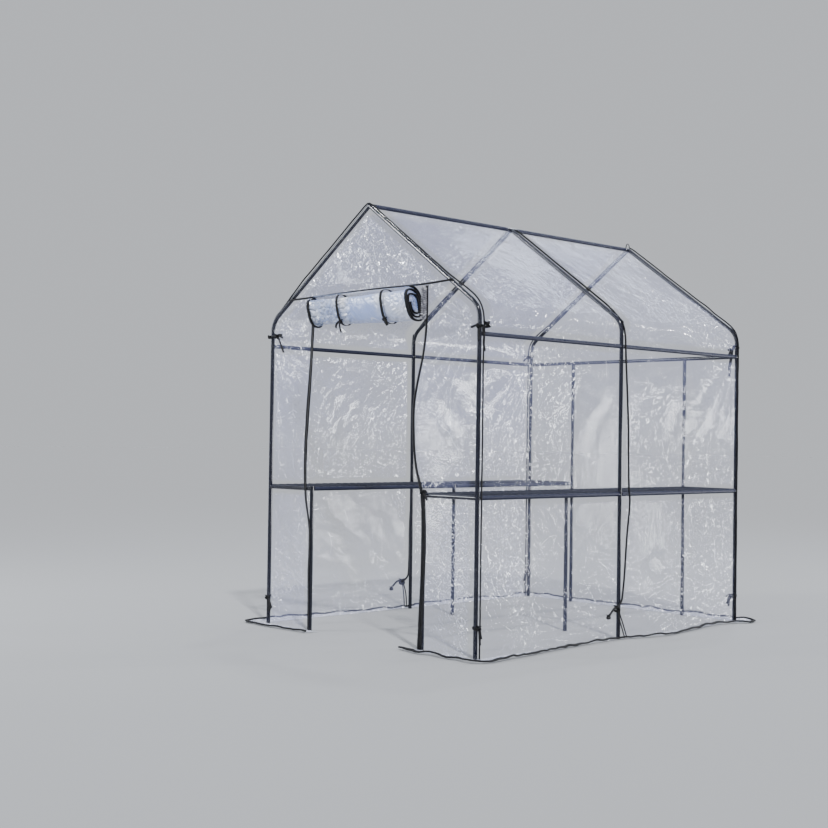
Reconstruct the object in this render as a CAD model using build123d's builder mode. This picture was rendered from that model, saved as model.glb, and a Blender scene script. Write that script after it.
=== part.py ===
from build123d import *
import math
import os

# A walk-in garden greenhouse: a round tube frame of three hoops, four wire shelves and a
# clear film cover with a rolled-up door. Millimetres. X runs across the front gable, Y from
# the front gable to the back and Z up. The origin is on the ground, in the middle of the floor.

# Frame, measured between tube centres
post_spacing = 1380.0
bay_length = 940.0
ridge_height = 1938.0
eave_height = 1447.0
bend_radius = 95.0
purlin_height = 1334.0
shelf_height = 658.0
shelf_depth = 315.0

# Tubes and the plugs that join them
tube_diameter = 19.0
tube_wall = 0.7
spigot_clearance = 0.3
spigot_length = 28.0
shoulder_thickness = 2.0
post_joint_rise = 30.0
ridge_arm_length = 34.0
butt_clearance = 0.3
cap_thickness = 1.5
foot_pad_thickness = 3.0
foot_plug_depth = 16.0

# Wire shelves
wire_thickness = 2.8
wire_weld_depth = 0.7
wire_pitch = 45.0
stringer_count = 4
grid_end_clearance = 3.0
grid_side_clearance = 2.5
grid_seat_gap = 0.2

# Film cover
film_thickness = 1.0
film_gap = 0.3
flap_width = 80.0
flap_thickness = 1.5
corner_gap = 0.4

# Doorway in the front gable. The right panel's free edge is tied back at shelf height
gable_panel_height = 383.0
door_left_edge = -385.0
door_right_edge = 385.0
door_tied_edge = 373.0
door_edge_bulge = 62.0
door_edge_foot = 366.0

# Rolled door and its ties
roll_left = -335.0
roll_right = 356.0
roll_left_size = (68.0, 128.0)
roll_right_size = (77.0, 146.0)
roll_drop = 8.0
roll_sink = 0.5
roll_tie_places = (-118.0, 190.0)
tie_width = 12.0
tie_thickness = 1.2
tie_gap = 0.3

# Bindings, piping and rope
zip_width = 11.0
zip_thickness = 1.4
piping_diameter = 6.0
piping_setback = 20.0
seam_diameter = 5.0
hem_diameter = 6.0
rope_diameter = 5.0
seat_gap = 0.1
knot_height = 140.0
knot_diameter = 17.0
upper_tie_drop = 19.0
lower_tie_height = 130.0

# Worked-out sizes
tube_radius = tube_diameter / 2
bore_radius = tube_radius - tube_wall
spigot_radius = bore_radius - spigot_clearance
half_span = post_spacing / 2
inner_line = half_span - shelf_depth
slope = math.degrees(math.atan2(ridge_height - eave_height, half_span))
turn = 90.0 - slope
bend_start = eave_height - bend_radius * math.tan(math.radians(turn / 2))
post_top = purlin_height + post_joint_rise
door_head_height = ridge_height - gable_panel_height
film_inside = tube_radius + film_gap
film_outside = film_inside + film_thickness
front_face = bay_length + film_outside
front_inside = bay_length + film_inside
hoops = {"front": -bay_length, "middle": 0.0, "back": bay_length}
sides = {"left": -1, "right": 1}

os.makedirs("parts", exist_ok=True)


def save(piece, name):
    """Labels a finished piece and writes it as one file."""
    piece.label = name
    export_step(piece, f"parts/{name}.step")


def corner_height(offset):
    """Height where the wall line and the roof line cross, both moved outwards by offset."""
    return eave_height + offset * math.tan(math.radians(turn / 2))


def ridge_line(offset):
    """Height of the roof line over the middle, moved outwards by offset."""
    return ridge_height + offset / math.cos(math.radians(slope))


def bend_point(offset):
    """Upper end of the eave bend on the right side, moved outwards by offset."""
    reach = bend_radius + offset
    across = half_span - bend_radius + reach * math.cos(math.radians(turn))
    return (across, bend_start + reach * math.sin(math.radians(turn)))


def cover_reach(height):
    """Distance from the middle to the outside of the cover at a height: wall, bend or roof."""
    if height <= bend_start:
        return half_span + film_outside
    if height <= bend_point(film_outside)[1]:
        rise = height - bend_start
        return half_span - bend_radius + math.sqrt((bend_radius + film_outside) ** 2 - rise**2)
    return (ridge_line(film_outside) - height) / math.tan(math.radians(slope))


# Outer posts, with the plugs that carry purlins, shelf rails and crossbars
for hoop, hoop_y in hoops.items():
    for side, sign in sides.items():
        forward = [(0, 1, 0)] if hoop != "back" else []
        backward = [(0, -1, 0)] if hoop != "front" else []
        inward = [(-sign, 0, 0)]
        plugs = [(purlin_height, way) for way in forward + backward]
        plugs += [(shelf_height, way) for way in forward + backward + inward]
        if hoop == "back":
            plugs += [(purlin_height, way) for way in inward]
        with BuildPart() as post:
            with BuildSketch(Plane.XY.offset(foot_pad_thickness)):
                with Locations((sign * half_span, hoop_y)):
                    Circle(tube_radius)
            extrude(amount=post_top - foot_pad_thickness)
            for height, way in plugs:
                with BuildSketch(Plane(origin=(sign * half_span, hoop_y, height), z_dir=way)):
                    Circle(spigot_radius)
                extrude(amount=tube_radius + spigot_length)
            with BuildSketch(Plane.XY.offset(foot_pad_thickness)):
                with Locations((sign * half_span, hoop_y)):
                    Circle(bore_radius)
            extrude(amount=post_top - foot_pad_thickness, mode=Mode.SUBTRACT)
        save(post.part, f"{hoop}_{side}_post")

# Bent rafters, each with a reduced lower end that drops into its post
for hoop, hoop_y in hoops.items():
    for side, sign in sides.items():
        arm_x = ridge_arm_length * math.cos(math.radians(slope))
        arm_z = ridge_arm_length * math.sin(math.radians(slope))
        with BuildPart() as rafter:
            with BuildLine(Plane.XZ.offset(-hoop_y)) as rafter_path:
                FilletPolyline(
                    (sign * half_span, post_top),
                    (sign * half_span, eave_height),
                    (sign * arm_x, ridge_height - arm_z),
                    radius=bend_radius,
                )
            with BuildSketch(Plane(origin=rafter_path.line @ 0, z_dir=rafter_path.line % 0)):
                Circle(tube_radius)
                Circle(bore_radius, mode=Mode.SUBTRACT)
            sweep(path=rafter_path.line)
            with BuildSketch(Plane.XY.offset(post_top)):
                with Locations((sign * half_span, hoop_y)):
                    Circle(tube_radius)
            extrude(amount=shoulder_thickness)
            with BuildSketch(Plane.XY.offset(post_top - spigot_length)):
                with Locations((sign * half_span, hoop_y)):
                    Circle(spigot_radius)
            extrude(amount=spigot_length)
            with BuildSketch(Plane.XY.offset(post_top - spigot_length)):
                with Locations((sign * half_span, hoop_y)):
                    Circle(spigot_radius - tube_wall)
            extrude(amount=spigot_length + shoulder_thickness, mode=Mode.SUBTRACT)
        save(rafter.part, f"{hoop}_{side}_rafter")

# Ridge joints: an elbow with an arm for each rafter and each ridge tube
with BuildPart() as ridge_joints:
    for hoop, hoop_y in hoops.items():
        tilt = math.radians(slope)
        arms = [(math.cos(tilt), 0, -math.sin(tilt)), (-math.cos(tilt), 0, -math.sin(tilt))]
        arms += [(0, 1, 0)] if hoop != "back" else []
        arms += [(0, -1, 0)] if hoop != "front" else []
        for way in arms:
            arm_plane = Plane(origin=(0, hoop_y, ridge_height), z_dir=way)
            with BuildSketch(arm_plane):
                Circle(tube_radius)
            extrude(amount=ridge_arm_length)
            with BuildSketch(arm_plane.offset(ridge_arm_length)):
                Circle(spigot_radius)
            extrude(amount=spigot_length)
        with Locations((0, hoop_y, ridge_height)):
            Sphere(tube_radius)
save(ridge_joints.part, "ridge_joints")

# Ridge tubes, one in each bay
with BuildPart() as ridge_tubes:
    for start in (-bay_length, 0.0):
        with BuildSketch(Plane.XZ.offset(-start - ridge_arm_length)):
            with Locations((0, ridge_height)):
                Circle(tube_radius)
                Circle(bore_radius, mode=Mode.SUBTRACT)
        extrude(amount=-(bay_length - 2 * ridge_arm_length))
save(ridge_tubes.part, "ridge_tubes")

# Straight tubes along the bays: purlins under the eaves and the two rails of each shelf
butt_gap = tube_radius + butt_clearance
bay_starts = (-bay_length, 0.0)
bay_tubes = {
    "left_purlins": [(-half_span, purlin_height)],
    "right_purlins": [(half_span, purlin_height)],
    "left_shelf_rails": [(-half_span, shelf_height), (-inner_line, shelf_height)],
    "right_shelf_rails": [(half_span, shelf_height), (inner_line, shelf_height)],
}
for name, lines in bay_tubes.items():
    with BuildPart() as bay_tube:
        for start in bay_starts:
            with BuildSketch(Plane.XZ.offset(-start - butt_gap)):
                with Locations(*lines):
                    Circle(tube_radius)
                    Circle(bore_radius, mode=Mode.SUBTRACT)
            extrude(amount=-(bay_length - 2 * butt_gap))
    save(bay_tube.part, name)

# Crossbars under the shelves, from each outer post to its inner post
for side, sign in sides.items():
    with BuildPart() as crossbars:
        for hoop_y in hoops.values():
            with BuildSketch(Plane.YZ.offset(sign * (inner_line + butt_gap))):
                with Locations((hoop_y, shelf_height)):
                    Circle(tube_radius)
                    Circle(bore_radius, mode=Mode.SUBTRACT)
            extrude(amount=sign * (shelf_depth - 2 * butt_gap))
    save(crossbars.part, f"{side}_shelf_crossbars")

# Inner shelf posts. The front and middle ones end at the shelf, the back one at the crossbar
for side, sign in sides.items():
    with BuildPart() as shelf_posts:
        for hoop, hoop_y in hoops.items():
            ways = [(sign, 0, 0)]
            ways += [(0, 1, 0)] if hoop != "back" else []
            ways += [(0, -1, 0)] if hoop != "front" else []
            capped = hoop != "back"
            top = shelf_height + tube_radius + cap_thickness if capped else purlin_height - butt_gap
            with BuildSketch(Plane.XY.offset(foot_pad_thickness)):
                with Locations((sign * inner_line, hoop_y)):
                    Circle(tube_radius)
            extrude(amount=top - foot_pad_thickness)
            for way in ways:
                with BuildSketch(Plane(origin=(sign * inner_line, hoop_y, shelf_height), z_dir=way)):
                    Circle(spigot_radius)
                extrude(amount=tube_radius + spigot_length)
            with BuildSketch(Plane.XY.offset(foot_pad_thickness)):
                with Locations((sign * inner_line, hoop_y)):
                    Circle(bore_radius)
            bore_top = top - cap_thickness if capped else top
            extrude(amount=bore_top - foot_pad_thickness, mode=Mode.SUBTRACT)
    save(shelf_posts.part, f"{side}_shelf_posts")

# Back crossbar at purlin height, with a plug down into each inner back post
with BuildPart() as back_crossbar:
    with BuildSketch(Plane.YZ.offset(-(half_span - butt_gap))):
        with Locations((bay_length, purlin_height)):
            Circle(tube_radius)
    extrude(amount=post_spacing - 2 * butt_gap)
    for sign in sides.values():
        plug_origin = (sign * inner_line, bay_length, purlin_height)
        with BuildSketch(Plane(origin=plug_origin, z_dir=(0, 0, -1))):
            Circle(spigot_radius)
        extrude(amount=tube_radius + spigot_length)
    with BuildSketch(Plane.YZ.offset(-(half_span - butt_gap))):
        with Locations((bay_length, purlin_height)):
            Circle(bore_radius)
    extrude(amount=post_spacing - 2 * butt_gap, mode=Mode.SUBTRACT)
save(back_crossbar.part, "back_crossbar")

# Moulded foot plugs: a pad on the ground and a stem up the bore
with BuildPart() as foot_plugs:
    foot_places = [(sign * line, y) for sign in sides.values() for line in (half_span, inner_line)
                   for y in hoops.values()]
    with BuildSketch(Plane.XY):
        with Locations(*foot_places):
            Circle(tube_radius)
    extrude(amount=foot_pad_thickness)
    with BuildSketch(Plane.XY.offset(foot_pad_thickness)):
        with Locations(*foot_places):
            Circle(spigot_radius)
    extrude(amount=foot_plug_depth)
save(foot_plugs.part, "foot_plugs")

# Wire shelf grids: cross wires on the rails, welded to stringers that hang between the rails
grid_length = bay_length - 2 * (tube_radius + grid_end_clearance)
cross_wire_count = int(grid_length // wire_pitch) + 1
cross_wire_length = shelf_depth + 2 * (tube_radius - grid_side_clearance)
grid_bottom = shelf_height + tube_radius + grid_seat_gap
stringer_span = shelf_depth - 2 * (tube_radius + grid_side_clearance + wire_thickness)
for side, sign in sides.items():
    with BuildPart() as shelf_grids:
        for start in bay_starts:
            grid_centre = (sign * (half_span + inner_line) / 2, start + bay_length / 2)
            with BuildSketch(Plane.XY.offset(grid_bottom)):
                with Locations(grid_centre):
                    with GridLocations(0, (grid_length - wire_thickness) / (cross_wire_count - 1),
                                       1, cross_wire_count):
                        Rectangle(cross_wire_length, wire_thickness)
            extrude(amount=wire_thickness)
            with BuildSketch(Plane.XY.offset(grid_bottom + wire_weld_depth - wire_thickness)):
                with Locations(grid_centre):
                    with GridLocations(stringer_span / (stringer_count - 1), 0, stringer_count, 1):
                        Rectangle(wire_thickness, grid_length)
            extrude(amount=wire_thickness)
    save(shelf_grids.part, f"{side}_shelf_grids")

# Side walls of film, standing on the ground flaps
for side, sign in sides.items():
    with BuildPart() as wall_film:
        with BuildSketch(Plane.YZ.offset(sign * (half_span + film_inside))):
            with BuildLine():
                Polyline(
                    (-front_inside, flap_thickness),
                    (front_inside, flap_thickness),
                    (front_inside, bend_start),
                    (-front_inside, bend_start),
                    close=True,
                )
            make_face()
        extrude(amount=sign * film_thickness)
    save(wall_film.part, f"{side}_wall_film")

# Film over the eave bends and up the two roof slopes
bend_centre = (half_span - bend_radius, bend_start)
for side, sign in sides.items():
    with BuildPart() as eave_film:
        with BuildSketch(Plane.XZ.offset(front_inside)):
            with BuildLine():
                inner_arc = CenterArc(bend_centre, bend_radius + film_inside, 0, turn)
                outer_arc = CenterArc(bend_centre, bend_radius + film_outside, 0, turn)
                Line(inner_arc @ 0, outer_arc @ 0)
                Line(inner_arc @ 1, outer_arc @ 1)
            make_face()
        extrude(amount=-2 * front_inside)
        if sign < 0:
            mirror(about=Plane.YZ, mode=Mode.REPLACE)
    save(eave_film.part, f"{side}_eave_film")
    with BuildPart() as roof_film:
        with BuildSketch(Plane.XZ.offset(front_inside)):
            with BuildLine():
                ridge_inner = CenterArc((0, ridge_height), film_inside, 90 - slope, slope)
                ridge_outer = CenterArc((0, ridge_height), film_outside, 90 - slope, slope)
                Line(ridge_inner @ 1, ridge_outer @ 1)
                Polyline(
                    ridge_inner @ 0,
                    bend_point(film_inside),
                    bend_point(film_outside),
                    ridge_outer @ 0,
                )
            make_face()
        extrude(amount=-2 * front_inside)
        if sign < 0:
            mirror(about=Plane.YZ, mode=Mode.REPLACE)
    save(roof_film.part, f"{side}_roof_film")

# Outline of the cover seen from an end: walls, eave bends and the round over the ridge tube
wall_outside = half_span + film_outside
cover_top = ridge_line(film_outside)
cover_corners = [
    (-wall_outside, flap_thickness),
    (-wall_outside, corner_height(film_outside)),
    (0, cover_top),
    (wall_outside, corner_height(film_outside)),
    (wall_outside, flap_thickness),
]
cover_radii = [bend_radius + film_outside, film_outside, bend_radius + film_outside]

# Gable film above the door head
with BuildPart() as front_gable_film:
    with BuildSketch(Plane.XZ.offset(front_inside)):
        with BuildLine():
            gable_outline = FilletPolyline(*cover_corners, radius=cover_radii)
            Line(gable_outline @ 0, gable_outline @ 1)
        make_face()
        with Locations((0, door_head_height)):
            Rectangle(
                2 * wall_outside,
                door_head_height,
                align=(Align.CENTER, Align.MAX),
                mode=Mode.SUBTRACT,
            )
    extrude(amount=film_thickness)
save(front_gable_film.part, "front_gable_film")

# Front panels beside the doorway. The right one's free edge swings into the opening
edge_middle = (door_head_height + shelf_height) / 2
for side in sides:
    with BuildPart() as front_panel:
        with BuildSketch(Plane.XZ.offset(front_inside)):
            with BuildLine():
                panel_outline = FilletPolyline(*cover_corners, radius=cover_radii)
                Line(panel_outline @ 0, panel_outline @ 1)
            make_face()
            with Locations((0, door_head_height)):
                Rectangle(
                    2 * wall_outside,
                    cover_top,
                    align=(Align.CENTER, Align.MIN),
                    mode=Mode.SUBTRACT,
                )
            if side == "left":
                with Locations((door_left_edge, 0)):
                    Rectangle(
                        2 * wall_outside,
                        cover_top,
                        align=(Align.MIN, Align.MIN),
                        mode=Mode.SUBTRACT,
                    )
            else:
                with BuildLine():
                    free_edge = ThreePointArc(
                        (door_right_edge, door_head_height),
                        (door_right_edge - door_edge_bulge, edge_middle),
                        (door_tied_edge, shelf_height),
                    )
                    Polyline(
                        free_edge @ 1,
                        (door_edge_foot, 0),
                        (-wall_outside, 0),
                        (-wall_outside, door_head_height),
                        free_edge @ 0,
                    )
                make_face(mode=Mode.SUBTRACT)
        extrude(amount=film_thickness)
    save(front_panel.part, f"front_{side}_film")

# Back wall of film with its gable in one sheet
with BuildPart() as back_film:
    with BuildSketch(Plane.XZ.offset(-front_inside)):
        with BuildLine():
            back_outline = FilletPolyline(*cover_corners, radius=cover_radii)
            Line(back_outline @ 0, back_outline @ 1)
        make_face()
    extrude(amount=-film_thickness)
save(back_film.part, "back_film")

# Ground flaps that spread outwards from the foot of the film
with BuildPart() as ground_flaps:
    with BuildSketch(Plane.XY):
        side_middle = half_span + film_inside + flap_width / 2
        with GridLocations(2 * side_middle, 0, 2, 1):
            Rectangle(flap_width, 2 * (front_inside - corner_gap))
        with Locations((0, front_inside + flap_width / 2)):
            Rectangle(2 * (side_middle + flap_width / 2), flap_width)
        left_width = side_middle + flap_width / 2 + door_left_edge
        right_width = side_middle + flap_width / 2 - door_edge_foot
        with Locations((door_left_edge - left_width / 2, -front_inside - flap_width / 2)):
            Rectangle(left_width, flap_width)
        with Locations((door_edge_foot + right_width / 2, -front_inside - flap_width / 2)):
            Rectangle(right_width, flap_width)
    extrude(amount=flap_thickness)
save(ground_flaps.part, "ground_flaps")

# Black binding along the outer edge of the ground flaps
with BuildPart() as hem_bindings:
    hem_level = flap_thickness + seat_gap + hem_diameter / 2
    hem_line = side_middle + flap_width / 2 - hem_diameter / 2
    hem_front = front_inside + flap_width - hem_diameter / 2
    hem_end = front_inside - corner_gap
    with BuildSketch(Plane.XZ.offset(-hem_end)):
        with Locations((-hem_line, hem_level), (hem_line, hem_level)):
            Circle(hem_diameter / 2)
    extrude(amount=2 * hem_end)
    with BuildSketch(Plane.YZ.offset(-hem_line)):
        with Locations((hem_front, hem_level)):
            Circle(hem_diameter / 2)
    extrude(amount=2 * hem_line)
    with BuildSketch(Plane.YZ.offset(-hem_line)):
        with Locations((-hem_front, hem_level)):
            Circle(hem_diameter / 2)
    extrude(amount=hem_line + door_left_edge)
    with BuildSketch(Plane.YZ.offset(hem_line)):
        with Locations((-hem_front, hem_level)):
            Circle(hem_diameter / 2)
    extrude(amount=door_edge_foot - hem_line)
save(hem_bindings.part, "hem_bindings")

# Piping that follows the sewn seam round each gable, just inside the end wall
piping_offset = film_outside + piping_diameter / 2 + seat_gap
for name, piping_y in (("front", piping_setback - front_inside), ("back", front_inside - piping_setback)):
    with BuildPart() as piping:
        with BuildLine(Plane.XZ.offset(-piping_y)) as piping_path:
            FilletPolyline(
                (-half_span - piping_offset, flap_thickness + seat_gap),
                (-half_span - piping_offset, corner_height(piping_offset)),
                (0, ridge_line(piping_offset)),
                (half_span + piping_offset, corner_height(piping_offset)),
                (half_span + piping_offset, flap_thickness + seat_gap),
                radius=[bend_radius + piping_offset, piping_offset, bend_radius + piping_offset],
            )
        with BuildSketch(Plane(origin=piping_path.line @ 0, z_dir=piping_path.line % 0)):
            Circle(piping_diameter / 2)
        sweep(path=piping_path.line)
    save(piping.part, f"{name}_gable_piping")

# Corded seam that carries the rolled door
seam_reach = cover_reach(door_head_height + seam_diameter) - seam_diameter
with BuildPart() as door_head_piping:
    with BuildSketch(Plane.YZ.offset(-seam_reach)):
        with Locations((-front_face - seam_diameter / 2 - seat_gap,
                        door_head_height + seam_diameter / 2 + seat_gap)):
            Circle(seam_diameter / 2)
    extrude(amount=2 * seam_reach)
save(door_head_piping.part, "door_head_piping")

# Zip tapes on the free edges beside the doorway
with BuildPart() as door_zip_tapes:
    with BuildSketch(Plane.XZ.offset(front_face)):
        with BuildLine():
            Polyline(
                (door_left_edge, door_head_height),
                (door_left_edge, flap_thickness),
                (door_left_edge - zip_width, flap_thickness),
                (door_left_edge - zip_width, door_head_height),
                close=True,
            )
        make_face()
        with BuildLine():
            edge_arc = ThreePointArc(
                (door_right_edge, door_head_height),
                (door_right_edge - door_edge_bulge, edge_middle),
                (door_tied_edge, shelf_height),
            )
            edge_foot = Line(edge_arc @ 1, (door_edge_foot, flap_thickness))
            outer_edge_arc = ThreePointArc(
                (door_right_edge + zip_width, door_head_height),
                (door_right_edge - door_edge_bulge + zip_width, edge_middle),
                (door_tied_edge + zip_width, shelf_height),
            )
            outer_edge_foot = Line(outer_edge_arc @ 1, (door_edge_foot + zip_width, flap_thickness))
            Line(edge_arc @ 0, outer_edge_arc @ 0)
            Line(edge_foot @ 1, outer_edge_foot @ 1)
        make_face()
    extrude(amount=zip_thickness)
save(door_zip_tapes.part, "door_zip_tapes")

# Door flap rolled up under the seam, thicker at the right end
roll_top = door_head_height - roll_drop


def roll_size(place):
    """Depth and height of the roll at a distance along the gable."""
    share = (place - roll_left) / (roll_right - roll_left)
    return tuple(a + share * (b - a) for a, b in zip(roll_left_size, roll_right_size))


def roll_centre(place):
    """Centre of the roll in its own cross section, whose back lies in the plane of the flap."""
    depth, height = roll_size(place)
    return (-front_face - depth / 2 + roll_sink, roll_top - height / 2)


with BuildPart() as door_roll:
    with BuildSketch(Plane.XZ.offset(front_inside)):
        with BuildLine():
            Polyline(
                (door_left_edge + corner_gap, door_head_height),
                (door_right_edge - corner_gap, door_head_height),
                (roll_right, roll_centre(roll_right)[1]),
                (roll_left, roll_centre(roll_right)[1]),
                close=True,
            )
        make_face()
    extrude(amount=film_thickness)
    for place in (roll_left, roll_right):
        depth, height = roll_size(place)
        with BuildSketch(Plane.YZ.offset(place)):
            with Locations(roll_centre(place)):
                Ellipse(depth / 2, height / 2)
    loft()
save(door_roll.part, "door_roll")

# Tie tapes that hold the roll up
with BuildPart() as roll_ties:
    for place in roll_tie_places:
        depth, height = roll_size(place)
        with BuildSketch(Plane.YZ.offset(place - tie_width / 2)):
            with Locations(roll_centre(place)):
                Ellipse(depth / 2 + tie_gap + tie_thickness, height / 2 + tie_gap + tie_thickness)
                Ellipse(depth / 2 + tie_gap, height / 2 + tie_gap, mode=Mode.SUBTRACT)
            with Locations((-front_face - tie_gap + depth / 2, roll_centre(place)[1])):
                Rectangle(depth, 2 * height, mode=Mode.SUBTRACT)
        extrude(amount=tie_width)
save(roll_ties.part, "roll_ties")

# Short tapes that tie the cover to the corner posts, open towards the film
with BuildPart() as corner_ties:
    for height in (bend_start - upper_tie_drop, lower_tie_height):
        with BuildSketch(Plane.XY.offset(height)):
            with GridLocations(post_spacing, 2 * bay_length, 2, 2):
                Circle(tube_radius + tie_gap + tie_thickness)
                Circle(tube_radius + tie_gap, mode=Mode.SUBTRACT)
            Rectangle(
                2 * (half_span + film_inside - tie_gap),
                2 * (front_inside - tie_gap),
                mode=Mode.INTERSECT,
            )
            with GridLocations(post_spacing + 2 * tube_diameter, 2 * (bay_length + tube_diameter), 2, 2):
                Rectangle(2 * tube_diameter, 2 * tube_diameter, mode=Mode.SUBTRACT)
        extrude(amount=tie_width)
save(corner_ties.part, "corner_ties")

# Hold-down rope over the middle hoop, knotted near the ground on both sides
rope_offset = film_outside + rope_diameter / 2 + seat_gap
with BuildPart() as storm_rope:
    with BuildLine(Plane.XZ) as rope_path:
        FilletPolyline(
            (-half_span - rope_offset, flap_thickness + seat_gap),
            (-half_span - rope_offset, corner_height(rope_offset)),
            (0, ridge_line(rope_offset)),
            (half_span + rope_offset, corner_height(rope_offset)),
            (half_span + rope_offset, flap_thickness + seat_gap),
            radius=[bend_radius + rope_offset, rope_offset, bend_radius + rope_offset],
        )
    with BuildSketch(Plane(origin=rope_path.line @ 0, z_dir=rope_path.line % 0)):
        Circle(rope_diameter / 2)
    sweep(path=rope_path.line)
    knot_line = half_span + film_outside + tie_gap + knot_diameter / 2
    with Locations((-knot_line, 0, knot_height), (knot_line, 0, knot_height)):
        Sphere(knot_diameter / 2)
save(storm_rope.part, "storm_rope")
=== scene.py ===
"""Looks of a walk-in film greenhouse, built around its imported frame.

Lengths are metres. X runs across the front gable, Y from the front gable to the back, Z up,
and the origin is on the ground in the middle of the floor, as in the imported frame.
"""

from __future__ import annotations

import logging
import math
from dataclasses import dataclass, field
from enum import Enum
from typing import Callable, Iterable, Sequence

import bmesh
import bpy
from mathutils import Matrix, Vector, noise


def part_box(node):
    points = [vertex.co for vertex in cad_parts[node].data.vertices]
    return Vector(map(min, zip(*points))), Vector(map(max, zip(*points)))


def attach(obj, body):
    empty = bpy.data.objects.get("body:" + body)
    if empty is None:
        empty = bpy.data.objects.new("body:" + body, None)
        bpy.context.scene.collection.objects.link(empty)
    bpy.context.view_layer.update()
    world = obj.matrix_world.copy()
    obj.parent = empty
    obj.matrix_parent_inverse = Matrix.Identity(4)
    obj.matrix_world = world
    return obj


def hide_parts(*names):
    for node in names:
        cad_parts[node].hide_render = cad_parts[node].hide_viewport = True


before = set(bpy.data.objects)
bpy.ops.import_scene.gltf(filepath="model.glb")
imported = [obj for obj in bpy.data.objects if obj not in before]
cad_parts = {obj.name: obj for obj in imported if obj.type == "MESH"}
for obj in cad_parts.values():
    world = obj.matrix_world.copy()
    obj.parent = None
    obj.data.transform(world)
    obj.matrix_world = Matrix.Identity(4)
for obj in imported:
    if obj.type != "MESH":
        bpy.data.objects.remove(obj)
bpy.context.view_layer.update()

log = logging.getLogger("greenhouse")

BODY = "root"
TOUCH = "touch"
CRUMPLE = "crumple"
VEIL = "veil"
STREAK_WAY = Vector((0.55, 0.45, -0.70))
Edge = Sequence[tuple[float, float]]


def smooth_step(low: float, high: float, value: float) -> float:
    """Rises smoothly from 0 at low to 1 at high."""
    share = min(1.0, max(0.0, (value - low) / (high - low)))
    return share * share * (3 - 2 * share)


def blend(start: float, end: float, share: float) -> float:
    """Value a share of the way from start to end."""
    return start + (end - start) * share


def smooth_at(points: Edge, place: float) -> float:
    """Smooth curve through given points.

    Args:
        points: (place, value) pairs in rising order of place.
        place: Where the curve is read. Past the ends it keeps the end values.

    Returns:
        The value of the curve there.
    """
    if place <= points[0][0]:
        return points[0][1]
    if place >= points[-1][0]:
        return points[-1][1]
    last = len(points) - 1
    i = max(k for k in range(last) if points[k][0] <= place)
    (x0, y0), (x1, y1) = points[i], points[i + 1]
    before = points[max(i - 1, 0)]
    after = points[min(i + 2, last)]
    gap = x1 - x0
    slope0 = (y1 - before[1]) / (x1 - before[0])
    slope1 = (after[1] - y0) / (after[0] - x0)
    t = (place - x0) / gap
    t2, t3 = t * t, t * t * t
    return (
        (2 * t3 - 3 * t2 + 1) * y0
        + (t3 - 2 * t2 + t) * gap * slope0
        + (3 * t2 - 2 * t3) * y1
        + (t3 - t2) * gap * slope1
    )


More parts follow.
